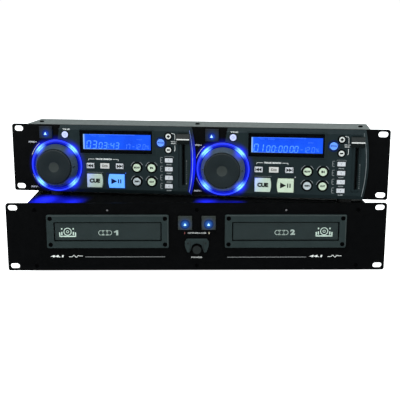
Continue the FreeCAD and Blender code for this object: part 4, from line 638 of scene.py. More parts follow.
# painted highlight strips for the fascia's curved right edge; deck 1's carries painted blue light of ring 2
EDGE_HIGHLIGHT = {1: finish("edge_painted_highlight_blue_1", (0.16, 0.19, 0.30), 0.35, specular=0.5, glow=(0.10, 0.22, 1.0), glow_strength=0.35, mottle=0.3, mottle_mm=6),
        2: finish("edge_painted_highlight_2", (0.16, 0.18, 0.19), 0.35, specular=0.5, mottle=0.3, mottle_mm=6)}
INK_RULE = finish("ink_rule", (0.20, 0.21, 0.21), 0.5, specular=0.3, mottle=0.06, mottle_mm=2)
INK_FASCIA = finish("ink_fascia", (0.55, 0.57, 0.57), 0.5, specular=0.3, mottle=0.06, mottle_mm=2)
INK_LINE = finish("ink_line", (0.22, 0.24, 0.25), 0.5, specular=0.3, mottle=0.06, mottle_mm=2)
INK_DARK = finish("ink_dark", (0.006, 0.008, 0.007), 0.45, specular=0.15, mottle=0.1, mottle_mm=2)
# near-black painted shade for key wells, key sides, key rims and the fader slot's lips; the blue copy is painted glow
# of the lit keys
WELL_SHADE = finish("key_well_painted_shade", (0.0010, 0.0018, 0.0018), 0.6, specular=0.04, grain=(0.35, 0.008), mottle=0.1)
WELL_LAMP_GLOW = finish("key_well_painted_blue_glow", (0.0020, 0.0050, 0.0200), 0.55, specular=0.10, grain=(0.35, 0.008), mottle=0.1,
                   glow=(0.0, 0.006, 0.045), glow_strength=1.1)
# near-black: screw heads, and painted shade along the creases of the moulding round the power button
SCREW_AND_CREASE_SHADE = finish("screw_heads_and_painted_crease_shade", (0.008, 0.011, 0.012), 0.6, specular=0.2, mottle=0.1, mottle_mm=2)
# a painted highlight along the lower edge of the fascia's top bevel
BEVEL_HIGHLIGHT = finish("fascia_bevel_painted_highlight", (0.030, 0.045, 0.056), 0.45, specular=0.3, mottle=0.3, mottle_mm=8)
# a painted highlight along the drive bezels' edges
BEZEL_EDGE_HIGHLIGHT = finish("bezel_edge_painted_highlight", (0.038, 0.046, 0.045), 0.45, specular=0.3, mottle=0.2, mottle_mm=12)
INK_SCALE = finish("ink_scale", (0.30, 0.32, 0.32), 0.5, specular=0.3, mottle=0.3, mottle_mm=3)
INK_WORDS = finish("ink_words", (0.44, 0.45, 0.44), 0.5, specular=0.3, mottle=0.25, mottle_mm=2)
INK_RED = finish("ink_red", (0.40, 0.10, 0.09), 0.5, specular=0.3, mottle=0.06, mottle_mm=2)
INK_GREEN = finish("ink_pale_green", (0.40, 0.50, 0.44), 0.5, specular=0.3, mottle=0.06, mottle_mm=2)
LENS = finish("display_frame_black", (0.0012, 0.0016, 0.0024), 0.12, specular=0.4, grain=(2.0, 0.001), mottle=0.1, vary=0.03)
LAMP = finish("lamp_pipe", (0.12, 0.115, 0.12), 0.2, specular=0.5, grain=(0.3, 0.003), mottle=0.1, mottle_mm=1)
TICK = finish("fader_line", (0.72, 0.73, 0.72), 0.3, metal=0.3, specular=0.5, grain=(0.3, 0.002), mottle=0.04)
CAP = finish("fader_cap", (0.0065, 0.0095, 0.0095), 0.42, specular=0.16, grain=(0.35, 0.008), mottle=0.06)
CONTACT = finish("tin_plate", (0.72, 0.71, 0.68), 0.25, metal=1.0, grain=(0.4, 0.002))

BLUE_LENS = {n: lit("open_lamp_%d" % n, (0.075, 0.36, 1.25), 1.0, base=(0.002, 0.006, 0.03), rough=0.25, centre=(s * 15.0, 60.9), place=PLAYER, radius=6.1,
                    edge=(0.0003, 0.0060, 0.050)) for n, s in ((1, -1), (2, 1))}
EJECT_LENS = {n: lit("eject_lamp_%d" % n, (0.045, 0.20, 1.4), 1.0, base=(0.002, 0.006, 0.04), rough=0.25, centre=(DECKS[n] - 14.6, 75.9), place=CONTROL,
                     radius=4.8, edge=(0.0005, 0.0035, 0.095)) for n in DECKS}
for m in (*BLUE_LENS.values(), *EJECT_LENS.values()):
    m.node_tree.nodes["Principled BSDF"].inputs["Specular IOR Level"].default_value = 0.18
ARROW_LIT = lit("arrow_lit", (0.36, 0.66, 1.0), 1.35, rough=0.3)
ARROW_OPEN = lit("arrow_open", (0.40, 0.74, 1.0), 1.5, rough=0.3)
PLAY_LIT = lit("play_lit", (0.070, 0.315, 1.0), 0.90, base=(0.075, 0.20, 0.5), rough=0.32)
PITCH_LIT = lit("pitch_lit", (0.070, 0.20, 0.85), 0.92, base=(0.06, 0.15, 0.4), rough=0.36)
LED_BLUE = lit("led_blue", (0.03, 0.13, 0.7), 0.5, rough=0.2)
DIGIT = lit("display_digits", (0.058, 0.235, 1.0), 1.06, rough=0.3)
DIGIT_DIM = lit("display_digits_dim", (0.032, 0.155, 1.0), 1.0, rough=0.3)


def paint_lamp_glow(m, place, x, z, near, reach, colour, power=1.0):
    """Painted light of a small lamp at x, z of a local frame, as emission on the face round it; near and reach in
    millimetres.
    """
    nt = m.node_tree
    b = nt.nodes["Principled BSDF"]
    c = place @ Vector((x, 0, z))
    tc = nt.nodes.new("ShaderNodeTexCoord")
    flat = nt.nodes.new("ShaderNodeVectorMath")
    flat.operation = "MULTIPLY"
    flat.inputs[1].default_value = (1, 0, 1)
    link(nt, tc.outputs["Object"], flat.inputs[0])
    far = nt.nodes.new("ShaderNodeVectorMath")
    far.operation = "DISTANCE"
    far.inputs[1].default_value = (c.x, 0, c.z)
    link(nt, flat.outputs[0], far.inputs[0])
    fade = maths(nt, "POWER", remap(nt, far.outputs["Value"], 1, 0, near / 1000.0, reach / 1000.0), 1.5)
    b.inputs["Emission Color"].default_value = (*colour, 1)
    link(nt, maths(nt, "MULTIPLY", fade, power), b.inputs["Emission Strength"])
    return m


def display_glass(name, deck):
    """The backlit display: light enters at its left and lower edges, with a slight mottling."""
    m, nt, b = shader(name)
    tc = nt.nodes.new("ShaderNodeTexCoord")
    x, z = face_plane(nt, DECKS[deck] + 35.5, 56.6)
    cloud = noise(nt, tc.outputs["Object"], 26, 2)
    fine = noise(nt, tc.outputs["Object"], 1.6, 2)
    tone = mix(nt, remap(nt, cloud, 0, 1), (0.002, 0.060, 0.74), (0.006, 0.100, 0.98))
    tone = mix(nt, remap(nt, fine, 0, 0.22), tone, (0.020, 0.14, 1.0))
    left = maths(nt, "POWER", remap(nt, x, 1, 0, 0.0, 0.006), 2.0)
    tone = mix(nt, maths(nt, "MULTIPLY", left, 0.5), tone, (0.05, 0.24, 1.0))
    low = maths(nt, "MULTIPLY", remap(nt, z, 1, 0, 0.0003, 0.0016), remap(nt, x, 1, 0, 0.018, 0.060))
    rim = maths(nt, "MAXIMUM", remap(nt, x, 1, 0, 0.0005, 0.0022), low)
    tone = mix(nt, maths(nt, "MULTIPLY", rim, 0.8), tone, (0.42, 0.72, 1.0))
    top = maths(nt, "MULTIPLY", remap(nt, z, 0, 1, 0.0190, 0.0208), remap(nt, x, 1, 0, 0.055, 0.075))
    tone = mix(nt, maths(nt, "MULTIPLY", top, 0.5), tone, (0.10, 0.36, 1.0))
    link(nt, tone, b.inputs["Emission Color"])
    b.inputs["Emission Strength"].default_value = 0.98
    b.inputs["Base Color"].default_value = (0.002, 0.012, 0.12, 1)
    b.inputs["Roughness"].default_value = 0.14
    return m


GLASS = {n: display_glass("display_glass_%d" % n, n) for n in DECKS}
RING = {n: halo_ring("ring_lit_%d" % n, n) for n in DECKS}

# paint the rings' blue light as emission on the control panel, the fascia, deck 1's right fascia bevel, the shuttle
# cones and the cue keys
for made, decks, rim, reach, level, lamps, inward in ((PANEL_RING_GLOW, (1, 2), 34.3, 6.5, 0.22, 1.3, False), (FASCIA_RING_GLOW, (1, 2), 34.3, 8.0, 0.20, 1.2, False),
                                                      (FASCIA_SIDE_GLOW, (2,), 34.4, 30.0, 1.3, 0.0, False), (CONE_SHADE_GLOW_1, (1,), 29.2, 9.0, 0.02, 1.7, True),
                                                      (CONE_LIGHT_GLOW_2, (2,), 29.2, 9.0, 0.02, 1.7, True),
                                                      (CUE_CREAM_GLOW, (1, 2), 44.0, 15.0, 0.46, 0.0, False)):
    paint_ring_spill(made, decks, rim, reach, level, lamps, inward=inward)



def bump_of(nt, value, mid, half):
    """1 at mid, 0 at half away from it, both in millimetres, with soft shoulders."""
    t = remap(nt, maths(nt, "ABSOLUTE", maths(nt, "SUBTRACT", value, mid / 1000.0)), 1, 0, 0.0, half / 1000.0)
    return maths(nt, "MULTIPLY", maths(nt, "MULTIPLY", t, t), maths(nt, "SUBTRACT", 3.0, maths(nt, "MULTIPLY", t, 2.0)))


def paint_cover_reflection(m):
    """Painted reflection of the two lit rings on the gloss cover just in front of the control unit, as blue emission:
    three pools under each ring.
    """
    # across, half width, back from the control panel's face, half depth, power
    pools = {1: ((-15, 20, -19, 38, 1.6), (26, 18, -29, 33, 0.85), (5, 42, -20, 37, 0.52)),
             2: ((-22, 18, -3, 27, 1.0), (18, 15, -10, 25, 0.48), (-2, 34, -7, 24, 0.36))}
    nt = m.node_tree
    b = nt.nodes["Principled BSDF"]
    total = None
    for n in DECKS:
        tc = nt.nodes.new("ShaderNodeTexCoord")
        sub = nt.nodes.new("ShaderNodeVectorMath")
        sub.operation = "SUBTRACT"
        sub.inputs[1].default_value = CONTROL @ Vector((DECKS[n], 0, 0))
        link(nt, tc.outputs["Object"], sub.inputs[0])
        parts = []
        for axis in ((math.cos(YAW), -math.sin(YAW), 0), (math.sin(YAW), math.cos(YAW), 0)):
            dot = nt.nodes.new("ShaderNodeVectorMath")
            dot.operation = "DOT_PRODUCT"
            dot.inputs[1].default_value = axis
            link(nt, sub.outputs[0], dot.inputs[0])
            parts.append(dot.outputs["Value"])
        x, y = parts
        value = None
        for across, width, deep, length, power in pools[n]:
            pool = maths(nt, "MULTIPLY", bump_of(nt, x, across, width), bump_of(nt, y, deep, length))
            pool = maths(nt, "MULTIPLY", pool, power)
            value = pool if value is None else maths(nt, "ADD", value, pool)
        value = maths(nt, "MULTIPLY", value, remap(nt, noise(nt, tc.outputs["Object"], 7.0, 2), 0.85, 1.12))
        total = value if total is None else maths(nt, "ADD", total, value)
    tc = nt.nodes.new("ShaderNodeTexCoord")
    sep = nt.nodes.new("ShaderNodeSeparateXYZ")
    link(nt, tc.outputs["Object"], sep.inputs[0])
    # only the cover's upper face is under the rings, not its side skirts or its inside
    total = maths(nt, "MULTIPLY", total, remap(nt, sep.outputs["Z"], 0.0, 1.0, 0.0934, 0.0938))
    b.inputs["Emission Color"].default_value = (0.010, 0.018, 1.0, 1)
    link(nt, total, b.inputs["Emission Strength"])


paint_cover_reflection(COVER_PAINTED_REFLECTION)

# ------------------------------------------------------ finishes of the CAD nodes

coat("player_front_panel", PANEL)
coat("player_top_cover", COVER_PAINTED_REFLECTION)
coat("player_chassis", STEEL)
coat("drive_bezels", SLATE)
for n in (1, 2):
    coat("disc_tray_%d" % n, [TRAY, DOOR], face_rule=lambda c, normal, k: 1 if c.y < 2.0 else 0)
    # the open key's face carries painted glow of its lamp
    coat("open_key_%d" % n, paint_lamp_glow(KEY_GREY_GLOW[n], PLAYER, (-15.0, 15.0)[n - 1], 60.9, 5.5, 10.5, (0.0, 0.016, 0.075)))
POWER_FACE = finish("power_button", (0.0078, 0.0118, 0.0118), 0.42, specular=0.38, grain=(0.3, 0.01))
# the button's outer rim and sides take the near-black screw finish as painted shade
coat("power_button", [POWER_FACE, SCREW_AND_RIM_SHADE], face_rule=lambda c, normal, k: 1 if math.hypot(c.x, c.z - 28.4) > 5.45 or normal.y > -0.7 else 0)


def mechanism(lo, hi):
    w, d, h = hi - lo
    if w < 3.6 and d > 50:
        return 1
    if h > 15 and w < 32:
        return 2
    if abs(w - 80) < 1 and d > 130:
        return 3
    if h < 1.4 and w > 130:
        return 3
    return 0


coat("disc_mechanisms", [BLACK, ROD, TRAY, STEEL], solid_rule=mechanism)


def player_board_solids(lo, hi):
    w, d, h = hi - lo
    if abs(w - 8.3) < 0.3 and abs(h - 8.3) < 0.3:
        return 4
    if abs(w - 14) < 0.5 and abs(h - 14) < 0.5:
        return 1
    if abs(w - 32) < 2 and d < 25:
        return 1
    return 0


def player_board_faces(c, normal, k):
    if k != 0:
        return None
    if c.y < 0.2 and c.z > 70:
        return 5
    if c.y < 14 and c.z > 12:
        return 1 if c.y < 11.9 or c.y > 13.7 else 0
    if c.z > 10.3:
        if abs(c.x) < 30 and 74 < c.y < 122:
            return 3
        if abs(c.x) < 30 and c.y < 190 and c.z > 12:
            return 2
        if c.y > 225:
            return 1
        return 2 if c.z > 13.4 else 1
    return 0


coat("player_boards", [BOARD, CHIP, CAN, CORE, GOLD, LAMP], solid_rule=player_board_solids, face_rule=player_board_faces)
coat("player_feet_and_screws", [SCREW_AND_RIM_SHADE, RUBBER], solid_rule=lambda lo, hi: 1 if (hi - lo).x > 20 else 0)

coat("controller_front_panel", PANEL_RING_GLOW, place=CONTROL)
coat("controller_case", CASE, place=CONTROL)
# faces of deck 1's right fascia bevel take the painted blue-light copy, the top bevel faces take the painted-shade copy
coat("controller_fascias", [FASCIA_RING_GLOW, FASCIA_SIDE_GLOW, FASCIA_TOP_SHADE], place=CONTROL,
     face_rule=lambda c, normal, k: 1 if normal.x > 0.35 and 168 < c.x - DECKS[1] < 190 else 2 if normal.z > 0.3 and c.z > 82 else 0)
coat("controller_feet_and_screws", [SCREW_AND_RIM_SHADE, RUBBER], solid_rule=lambda lo, hi: 1 if (hi - lo).x > 12 else 0, place=CONTROL)


def control_solids(lo, hi):
    w, d, h = hi - lo
    if abs(w - 91.4) < 1 and d > 11:
        return 1  # display
    if abs(w - 94.4) < 1 and d < 3:
        return 2  # its frame
    if w > 150:
        return 0  # key board
    return 3


def control_faces(c, normal, k):
    if k == 1:
        return (1 if c.x < 0 else 4) if c.y < -3.1 and normal.y < -0.9 else 3
    if k == 0 and c.y < 8.9:
        return 3
    return None


coat("control_boards", [BOARD, GLASS[1], LENS, BLACK, GLASS[2]], solid_rule=control_solids, face_rule=control_faces, place=CONTROL)

SKIRTED = ("reloop_key", "loop_in_key", "tempo_key", "loop_out_key", "pitch_key", "bend_plus_key", "bend_minus_key", "time_key", "track_back_key",
           "folder_key", "track_skip_key", "program_key_1", "program_key_2", "program_key_3", "program_key_4")
for n, x0 in DECKS.items():
    pre = "deck%d_" % n
    # the eject key's face carries painted glow of its lamp
    for name, m in (("track_back_key", SILVER), ("folder_key", OYSTER), ("track_skip_key", SILVER), ("program_key_1", SILVER),
                    ("program_key_2", SILVER), ("program_key_3", SILVER), ("program_key_4", SILVER), ("reloop_key", CREAM),
                    ("loop_in_key", CREAM), ("tempo_key", PEARL), ("loop_out_key", CREAM), ("pitch_key", PITCH_LIT),
                    ("bend_plus_key", WHITE_KEY), ("bend_minus_key", WHITE_KEY), ("cue_key", CUE_CREAM_GLOW),
                    ("play_key", PLAY_LIT if n == 1 else CREAM), ("eject_key", paint_lamp_glow(KEY_DARK_GLOW[n], CONTROL, x0 - 14.6, 76.0, 3.5, 11.0, (0.0, 0.018, 0.11))), ("time_key", LILAC),
                    ("shuttle_ring", CONE_SHADE_GLOW_1 if n == 1 else CONE_LIGHT_GLOW_2), ("jog_wheel", KNOB), ("pitch_fader", CAP)):
        if name in SKIRTED:  # the caps are printed on their fronts, and their sides get painted shade, which on the pitch key is painted blue lamp glow
            coat(pre + name, [m, WELL_LAMP_GLOW if name == "pitch_key" else WELL_SHADE], place=CONTROL, face_rule=lambda c, normal, k: 1 if normal.y > -0.8 else 0)
        else:
            coat(pre + name, m, place=CONTROL)

# --------------------------------------------------- jog wheels, rings, shuttles

for n, x0 in DECKS.items():
    ring = revolved("deck%d_light_ring" % n, CONTROL, x0, JOG_Z,
                    [(28.5, 0), (28.5, -4.3), (28.75, -5.1), (29.3, -5.7), (30.1, -5.95), (30.9, -5.85), (31.5, -5.5), (32.0, -5.3),
                     (32.6, -5.45), (33.2, -5.5), (33.8, -5.25), (34.2, -4.75), (34.4, -4.0), (34.4, 0)],
                    "controller", RING[n], n=160)
    if n == 1:
        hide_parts("jog_light_rings")
    ribs = lambda i, k: (0.16 * (1 if (k // 3) % 2 else -1) - 0.16) if i in (9, 10) else 0
    wheel = revolved("deck%d_jog" % n, CONTROL, x0, JOG_Z,
                     [(0, -19.05), (6.1, -19.05), (6.4, -19.12), (6.6, -19.3), (6.9, -19.42), (20.6, -19.5), (21.3, -19.42), (21.8, -19.15),
                      (22.12, -18.75), (22.3, -18.2), (22.3, -14.6), (22.0, -14.1), (8, -14), (8, 2), (3, 2), (3, 18), (0, 18)],
                     "deck%d_jog_wheel" % n, [KNOB, KNOB_RIM, DIMPLE], n=216, smooth=28, ripple=ribs)
    back = CONTROL.inverted()
    for p in wheel.data.polygons:
        c = back @ p.center
        r = math.hypot(c.x - x0, c.z - JOG_Z)
        if r < 6.5 and c.y < -19:
            p.material_index = 2
        elif r > 21.4:
            p.material_index = 1
    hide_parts("deck%d_jog_wheel" % n)

# ------------------------------------------------- lettering on the transport unit

strokes = SurfaceMarks(PLAYER, 0)
strokes.text("OPEN/CLOSE", 0.1, 49.1, 1.75, width=23.6, bold=0.02)
strokes.text("POWER", 0, 16.9, 1.9, width=14.2, bold=0.03)
strokes.done("panel_words", "transport", INK_WORDS, "panel_black")
# painted highlights along the top and right edges of each drive bezel
strokes = SurfaceMarks(PLAYER, -3.0, 0.015)
for s in (-1, 1):
    strokes.rect(s * 113.0, 72.35, 152.0, 0.75)
    strokes.rect(s * 113.0 + 76.15, 51.85, 0.5, 38.0)
strokes.done("bezel_edge_painted_highlights", "transport", BEZEL_EDGE_HIGHLIGHT, "slate_plastic")
SurfaceMarks(PLAYER, 0).text("1", -15.4, 49.1, 2.2, bold=0.06).done("panel_numeral_1", "transport", INK_RED, "panel_black")
SurfaceMarks(PLAYER, 0).text("2", 15.6, 49.1, 2.2, bold=0.06).done("panel_numeral_2", "transport", finish("ink_ivory", (0.55, 0.50, 0.36), 0.5, specular=0.3), "panel_black")
strokes = SurfaceMarks(PLAYER, 0)
strokes.rect(-91.5, 17.8, 101.9, 0.55)
strokes.rect(89.7, 17.1, 101.4, 0.55)
strokes.done("panel_rules", "transport", INK_RULE, "panel_black")
strokes = SurfaceMarks(PLAYER, 0)
for s, z in ((-1, 18.7), (1, 18.2)):
    x = s * 178.3 if s < 0 else 153
    strokes.text("44.1", x, z, 2.5, width=16.6, bold=0.07, lean=0.1)
    x = -154.6 if s < 0 else 177
    wave = [(-8.9, -0.6), (-4.6, -0.6), (-2.6, 1.5), (0.6, -1.7), (2.8, 1.1), (4.6, 0.4), (8.9, 0.4)]
    strokes.path([(x + a, z + b) for a, b in wave], 0.62)
strokes.done("panel_pictograms", "transport", INK_WHITE, "panel_black")

for n, s in ((1, -1), (2, 1)):
    body = "disc_tray_%d" % n
    strokes = SurfaceMarks(PLAYER, -1.6)
    x, z = s * 163.85 if n == 1 else 162.1, 51.6
    strokes.arc(x, z, 4.6, 1.0, 0, 360, 48)
    strokes.arc(x, z, 1.5, 0.7, 0, 360, 24)
    strokes.rect(x, 45.5, 21.4, 1.5)
    for side in (-1, 1):
        strokes.rect(x + side * 10.0, 48.3, 1.5, 5.0)
        strokes.rect(x + side * 7.3, 49.3, 1.6, 4.2)
        strokes.rect(x + side * 7.3, 55.3, 1.6, 2.0)
    strokes.done("door_disc_mark_%d" % n, body, INK_GREEN, "door_plastic")
    strokes = SurfaceMarks(PLAYER, -1.6)
    a, b = (-125.0, -107.6) if n == 1 else (99.0, 116.6)
    r, z = 3.3, 50.1
    for cx in (a + r, (a + b) / 2, b - r):
        strokes.arc(cx, z, r - 0.4, 0.8, 0, 360, 36)
    strokes.rect((a + b) / 2, z + r - 0.3, b - a - 2 * r, 0.7)
    strokes.rect((a + b) / 2, z - r + 0.3, b - a - 2 * r, 0.7)
    if n == 1:
        strokes.poly([(-105.2, 51.6), (-101.8, 53.4), (-99.8, 53.4), (-99.8, 46.8), (-102.4, 46.8), (-102.4, 50.8), (-105.2, 50.2)])
    else:
        strokes.text("2", 122.0, z, 6.6, width=6.0, bold=0.07)
    strokes.done("door_numeral_%d" % n, body, finish("ink_door_%d" % n, (0.27, 0.33, 0.30), 0.5, specular=0.3), "door_plastic")
    # the open key: a lamp in its middle with a lit arrow
    x = s * 15.0
    body = "open_key_%d" % n
    SurfaceMarks(PLAYER, -1.5, 0.02).disc(x, 60.9, 6.1, 48).done("open_lamp_%d" % n, body, BLUE_LENS[n], "key_grey")
    SurfaceMarks(PLAYER, -1.5, 0.06).triangle(x, 60.7, 3.5, 3.0, "up").done("open_arrow_%d" % n, body, ARROW_OPEN, "key_grey")

# screws of the moulding round the power button, and painted shade along its creases
strokes = SurfaceMarks(PLAYER, -2.6, 0.015)
for s in (-1, 1):
    strokes.disc(s * 11.2, 36.2, 1.35)
    strokes.path([(s * 8.6, 39.3), (s * 7.9, 34.6), (s * 8.5, 30.2), (s * 9.9, 26.4)], 0.7)
strokes.done("trim_screws_and_painted_creases", "transport", SCREW_AND_CREASE_SHADE, "slate_plastic")

# ------------------------------------------------- lettering on the control unit

PANEL_DIM = finish("ink_panel_dim", (0.19, 0.21, 0.30), 0.5, specular=0.3, mottle=0.1, mottle_mm=3)
PANEL_INK = finish("ink_panel_control", (0.50, 0.51, 0.56), 0.5, specular=0.3, mottle=0.06, mottle_mm=2)
for n, x0 in DECKS.items():
    pre = "deck%d_" % n
    strokes = SurfaceMarks(CONTROL, 0)
    strokes.text("FWD+", x0 - 33.0, 64.6, 2.2, width=10.8, bold=0.03)
    strokes.text("REV-", x0 - 32.7, 5.4, 2.2, width=9.4, bold=0.03)
    strokes.arc(x0, JOG_Z, 36.9, 0.52, 131, 160)
    strokes.done(pre + "panel_words", "controller", PANEL_INK, "panel_black")
    SurfaceMarks(CONTROL, 0).arc(x0, JOG_Z, 36.9, 0.5, 200, 229).done(pre + "reverse_arc", "controller", PANEL_DIM, "panel_black")

    strokes = SurfaceMarks(CONTROL, -6)
    strokes.text("TIME", x0 + 13.9, 82.7, 1.6, width=9.8, bold=0.06)
    strokes.text("TRACK SEARCH", x0 + 62.3, 44.9, 1.8, width=21.4, bold=0.08)
    strokes.path([(x0 + 42.6, 43.0), (x0 + 42.6, 44.9), (x0 + 50.2, 44.9)], 0.5)
    strokes.path([(x0 + 74.4, 44.9), (x0 + 81.6, 44.9), (x0 + 81.6, 43.0)], 0.5)
    strokes.text("PITCH", x0 + 153.6, 69.2, 1.3, width=6.8, bold=0.03)
    strokes.text("BEND", x0 + 153.6, 66.8, 1.3, width=6.2, bold=0.03)
    strokes.path([(x0 + 150.6, 79.9), (x0 + 154.6, 79.0), (x0 + 155.2, 77.4), (x0 + 155.2, 71.2)], 0.6)
    strokes.path([(x0 + 155.2, 64.4), (x0 + 155.2, 58.6), (x0 + 154.4, 57.0)], 0.6)
    strokes.done(pre + "fascia_words", "controller", INK_FASCIA, "slate_plastic")

    strokes = SurfaceMarks(CONTROL, -6)
    # painted shade rings round the round keys and the bend keys, and a painted blue glow round the lit pitch key
    well = SurfaceMarks(CONTROL, -6, 0.012)
    for kx, kz in ((105.9, 35.1), (125.1, 35.1), (105.9, 17.0), (125.1, 17.0)):
        well.arc(x0 + kx, kz, 6.45, 1.5, 0, 360, 48)
    for kz in (75.9, 58.7):
        well.arc(x0 + 146.9, kz, 4.75, 1.2, 0, 360, 40)
    well.done(pre + "key_painted_shade_rings", "controller", WELL_SHADE, "slate_plastic")
    SurfaceMarks(CONTROL, -6, 0.012).arc(x0 + 137.1, 67.7, 6.6, 1.6, 0, 360, 48).done(pre + "pitch_painted_glow_ring", "controller", WELL_LAMP_GLOW, "slate_plastic")
    for kx, kz in ((105.9, 35.1), (125.1, 35.1), (105.9, 17.0), (125.1, 17.0)):
        strokes.arc(x0 + kx, kz, 7.9, 0.5, 112, 168)
        strokes.arc(x0 + kx, kz, 7.9, 0.5, 24, 62)
    for kz, word in ((45.4, "PROG"), (34.1, "CONT"), (22.8, "STOP"), (11.8, "SLEEP")):
        strokes.text(word, x0 + 147.4, kz - 5.75, 1.3, width=6.4, bold=0.08)
        h = 3.4
        strokes.path([(x0 + 139.4, kz + h), (x0 + 137.2, kz + h), (x0 + 136.5, kz + h - 0.9), (x0 + 136.5, kz - h + 0.9), (x0 + 137.2, kz - h),
                  (x0 + 139.0, kz - h)], 0.45)
        strokes.path([(x0 + 136.5, kz), (x0 + 138.6, kz)], 0.4)
    
    strokes.path([(x0 + 141.4, 49.0), (x0 + 142.4, 50.3), (x0 + 152.4, 50.3), (x0 + 153.6, 49.0)], 0.32)
    strokes.path([(x0 + 40.2, 27.6), (x0 + 61.4, 27.6)], 0.25)
    strokes.done(pre + "fascia_lines", "controller", INK_LINE, "slate_plastic")

    # painted shade along the lips of the fader slot
    SurfaceMarks(CONTROL, -4.6, 0.012).rect(x0 + 163.95, 45.0, 0.7, 63.6).rect(x0 + 167.45, 45.0, 1.1, 63.6).done(
        pre + "fader_painted_lip_shade", "controller", WELL_SHADE, "slate_plastic")
    strokes = SurfaceMarks(CONTROL, -4.6)  # the scale beside the slot
    for k in range(13):
        z = 15.2 + k * 2.45
        if k in (0, 12):
            strokes.disc(x0 + 170.0, z, 0.62, 16)
        else:
            strokes.rect(x0 + 170.0, z, 1.7 if k == 6 else 1.2, 0.42)
    strokes.done(pre + "fader_scale", "controller", INK_SCALE, "slate_plastic")

    # a painted blue glow round deck 1's lit play key
    if n == 1:
        SurfaceMarks(CONTROL, -6, 0.010).path([(x0 + 66.2, 26.6), (x0 + 90.5, 26.6), (x0 + 90.5, 7.0), (x0 + 66.2, 7.0), (x0 + 66.2, 26.6)], 1.2).done(
            pre + "play_painted_glow_frame", "controller", WELL_LAMP_GLOW, "slate_plastic")
    # painted highlight lines along the lower edge of the fascia's top bevel
    SurfaceMarks(CONTROL, -6).rect(x0 + 78.8, 83.0, 97.0, 0.6).rect(x0 + 17.0, 83.0, 26.6, 0.35).done(pre + "fascia_bevel_painted_highlight", "controller", BEVEL_HIGHLIGHT, "slate_plastic")
    # black border printed on the display's glass
    mask = SurfaceMarks(CONTROL, -3.2, 0.03)
    mask.rect(x0 + 79.7, 77.15, 88.6, 0.9).rect(x0 + 79.7, (56.9, 57.0)[n - 1], 88.6, (0.7, 0.9)[n - 1])
    mask.done(pre + "display_border", "controller", LENS, "light_guide")
    # keys
    k = pre + "track_back_key"
    SurfaceMarks(CONTROL, -7.2).rect(x0 + 41.5, 36.3, 0.9, 4.4).triangle(x0 + 43.6, 36.3, 3.7, 5.0, "left").triangle(x0 + 46.9, 36.3, 3.7, 5.0, "left").done(
        k + "_mark", k, INK_DARK, "key_silver")
    k = pre + "folder_key"
    SurfaceMarks(CONTROL, -7.2).path([(x0 + 60.9, 35.3), (x0 + 60.9, 37.7), (x0 + 62.6, 37.7), (x0 + 63.1, 37.1), (x0 + 67.2, 37.1), (x0 + 67.2, 35.3),
                             (x0 + 60.9, 35.3)], 0.9).done(k + "_mark", k, finish(k + "_ink", (0.10, 0.09, 0.08), 0.5, specular=0.3), "key_silver")
    k = pre + "track_skip_key"
    SurfaceMarks(CONTROL, -7.2).rect(x0 + 87.0, 36.3, 0.9, 4.4).triangle(x0 + 84.9, 36.3, 3.7, 5.0, "right").triangle(x0 + 81.6, 36.3, 3.7, 5.0, "right").done(
        k + "_mark", k, INK_DARK, "key_silver")
    k = pre + "cue_key"
    SurfaceMarks(CONTROL, -8.2).text("CUE", x0 + 50.6, 16.7, 4.9, width=14.0, bold=0.105).done(k + "_mark", k, INK_DARK, "key_cream")
    k = pre + "play_key"
    mark = finish("play_ink_1", (0.0005, 0.006, 0.06), 0.45, specular=0.08) if n == 1 else INK_DARK
    SurfaceMarks(CONTROL, -8.2).triangle(x0 + 76.3, 16.8, 7.8, 7.6, "right").rect(x0 + 81.9, 16.8, 1.5, 5.4).rect(x0 + 84.8, 16.8, 1.5, 5.4).done(
        k + "_mark", k, mark, "key_blue" if n == 1 else "key_cream")
    # a painted rim round the face of each round key: painted shade, and painted blue lamp glow on the lit pitch key
    for key, kx, kz, y, r in (("reloop_key", 105.9, 35.1, -7.6, 5.4), ("loop_in_key", 125.1, 35.1, -7.6, 5.4), ("tempo_key", 105.9, 17.0, -7.6, 5.4),
                              ("loop_out_key", 125.1, 17.0, -7.6, 5.4), ("pitch_key", 137.1, 67.7, -7.2, 5.25), ("time_key", 12.5, 76.1, -7.2, 4.6)):
        SurfaceMarks(CONTROL, y, 0.015).arc(x0 + kx, kz, r - 0.22, 0.44, 0, 360, 48).done(
            pre + key + "_painted_rim", pre + key, WELL_LAMP_GLOW if key == "pitch_key" else WELL_SHADE, "key_blue" if key == "pitch_key" else "key_white" if key == "time_key" else "key_cream")
    for key, word, kx, kz, w in (("reloop_key", "RELOOP", 105.9, 35.1, 7.6), ("loop_in_key", "IN", 125.1, 35.1, 4.0),
                                 ("tempo_key", "TEMPO", 105.9, 17.0, 7.2), ("loop_out_key", "OUT", 125.1, 17.0, 6.2)):
        k = pre + key
        SurfaceMarks(CONTROL, -7.6).text(word, x0 + kx, kz, 2.1 if w > 6 else 2.6, width=w, bold=0.10).done(k + "_mark", k, INK_DARK, "key_cream")
    k = pre + "pitch_key"
    SurfaceMarks(CONTROL, -7.6).text("PITCH", x0 + 137.1, 67.7, 1.8, width=7.6, bold=0.07).done(k + "_mark", k, finish(k + "_ink", (0.012, 0.05, 0.30), 0.5, specular=0.3),
                                                                                     "key_blue")
    k = pre + "bend_plus_key"
    SurfaceMarks(CONTROL, -7.2).rect(x0 + 146.9, 75.9, 4.0, 1.7).rect(x0 + 146.9, 75.9, 1.7, 4.0).done(k + "_mark", k, INK_DARK, "key_white")
    k = pre + "bend_minus_key"
    SurfaceMarks(CONTROL, -7.2).rect(x0 + 146.9, 58.7, 4.0, 2.0).done(k + "_mark", k, INK_DARK, "key_white")
    k = pre + "time_key"
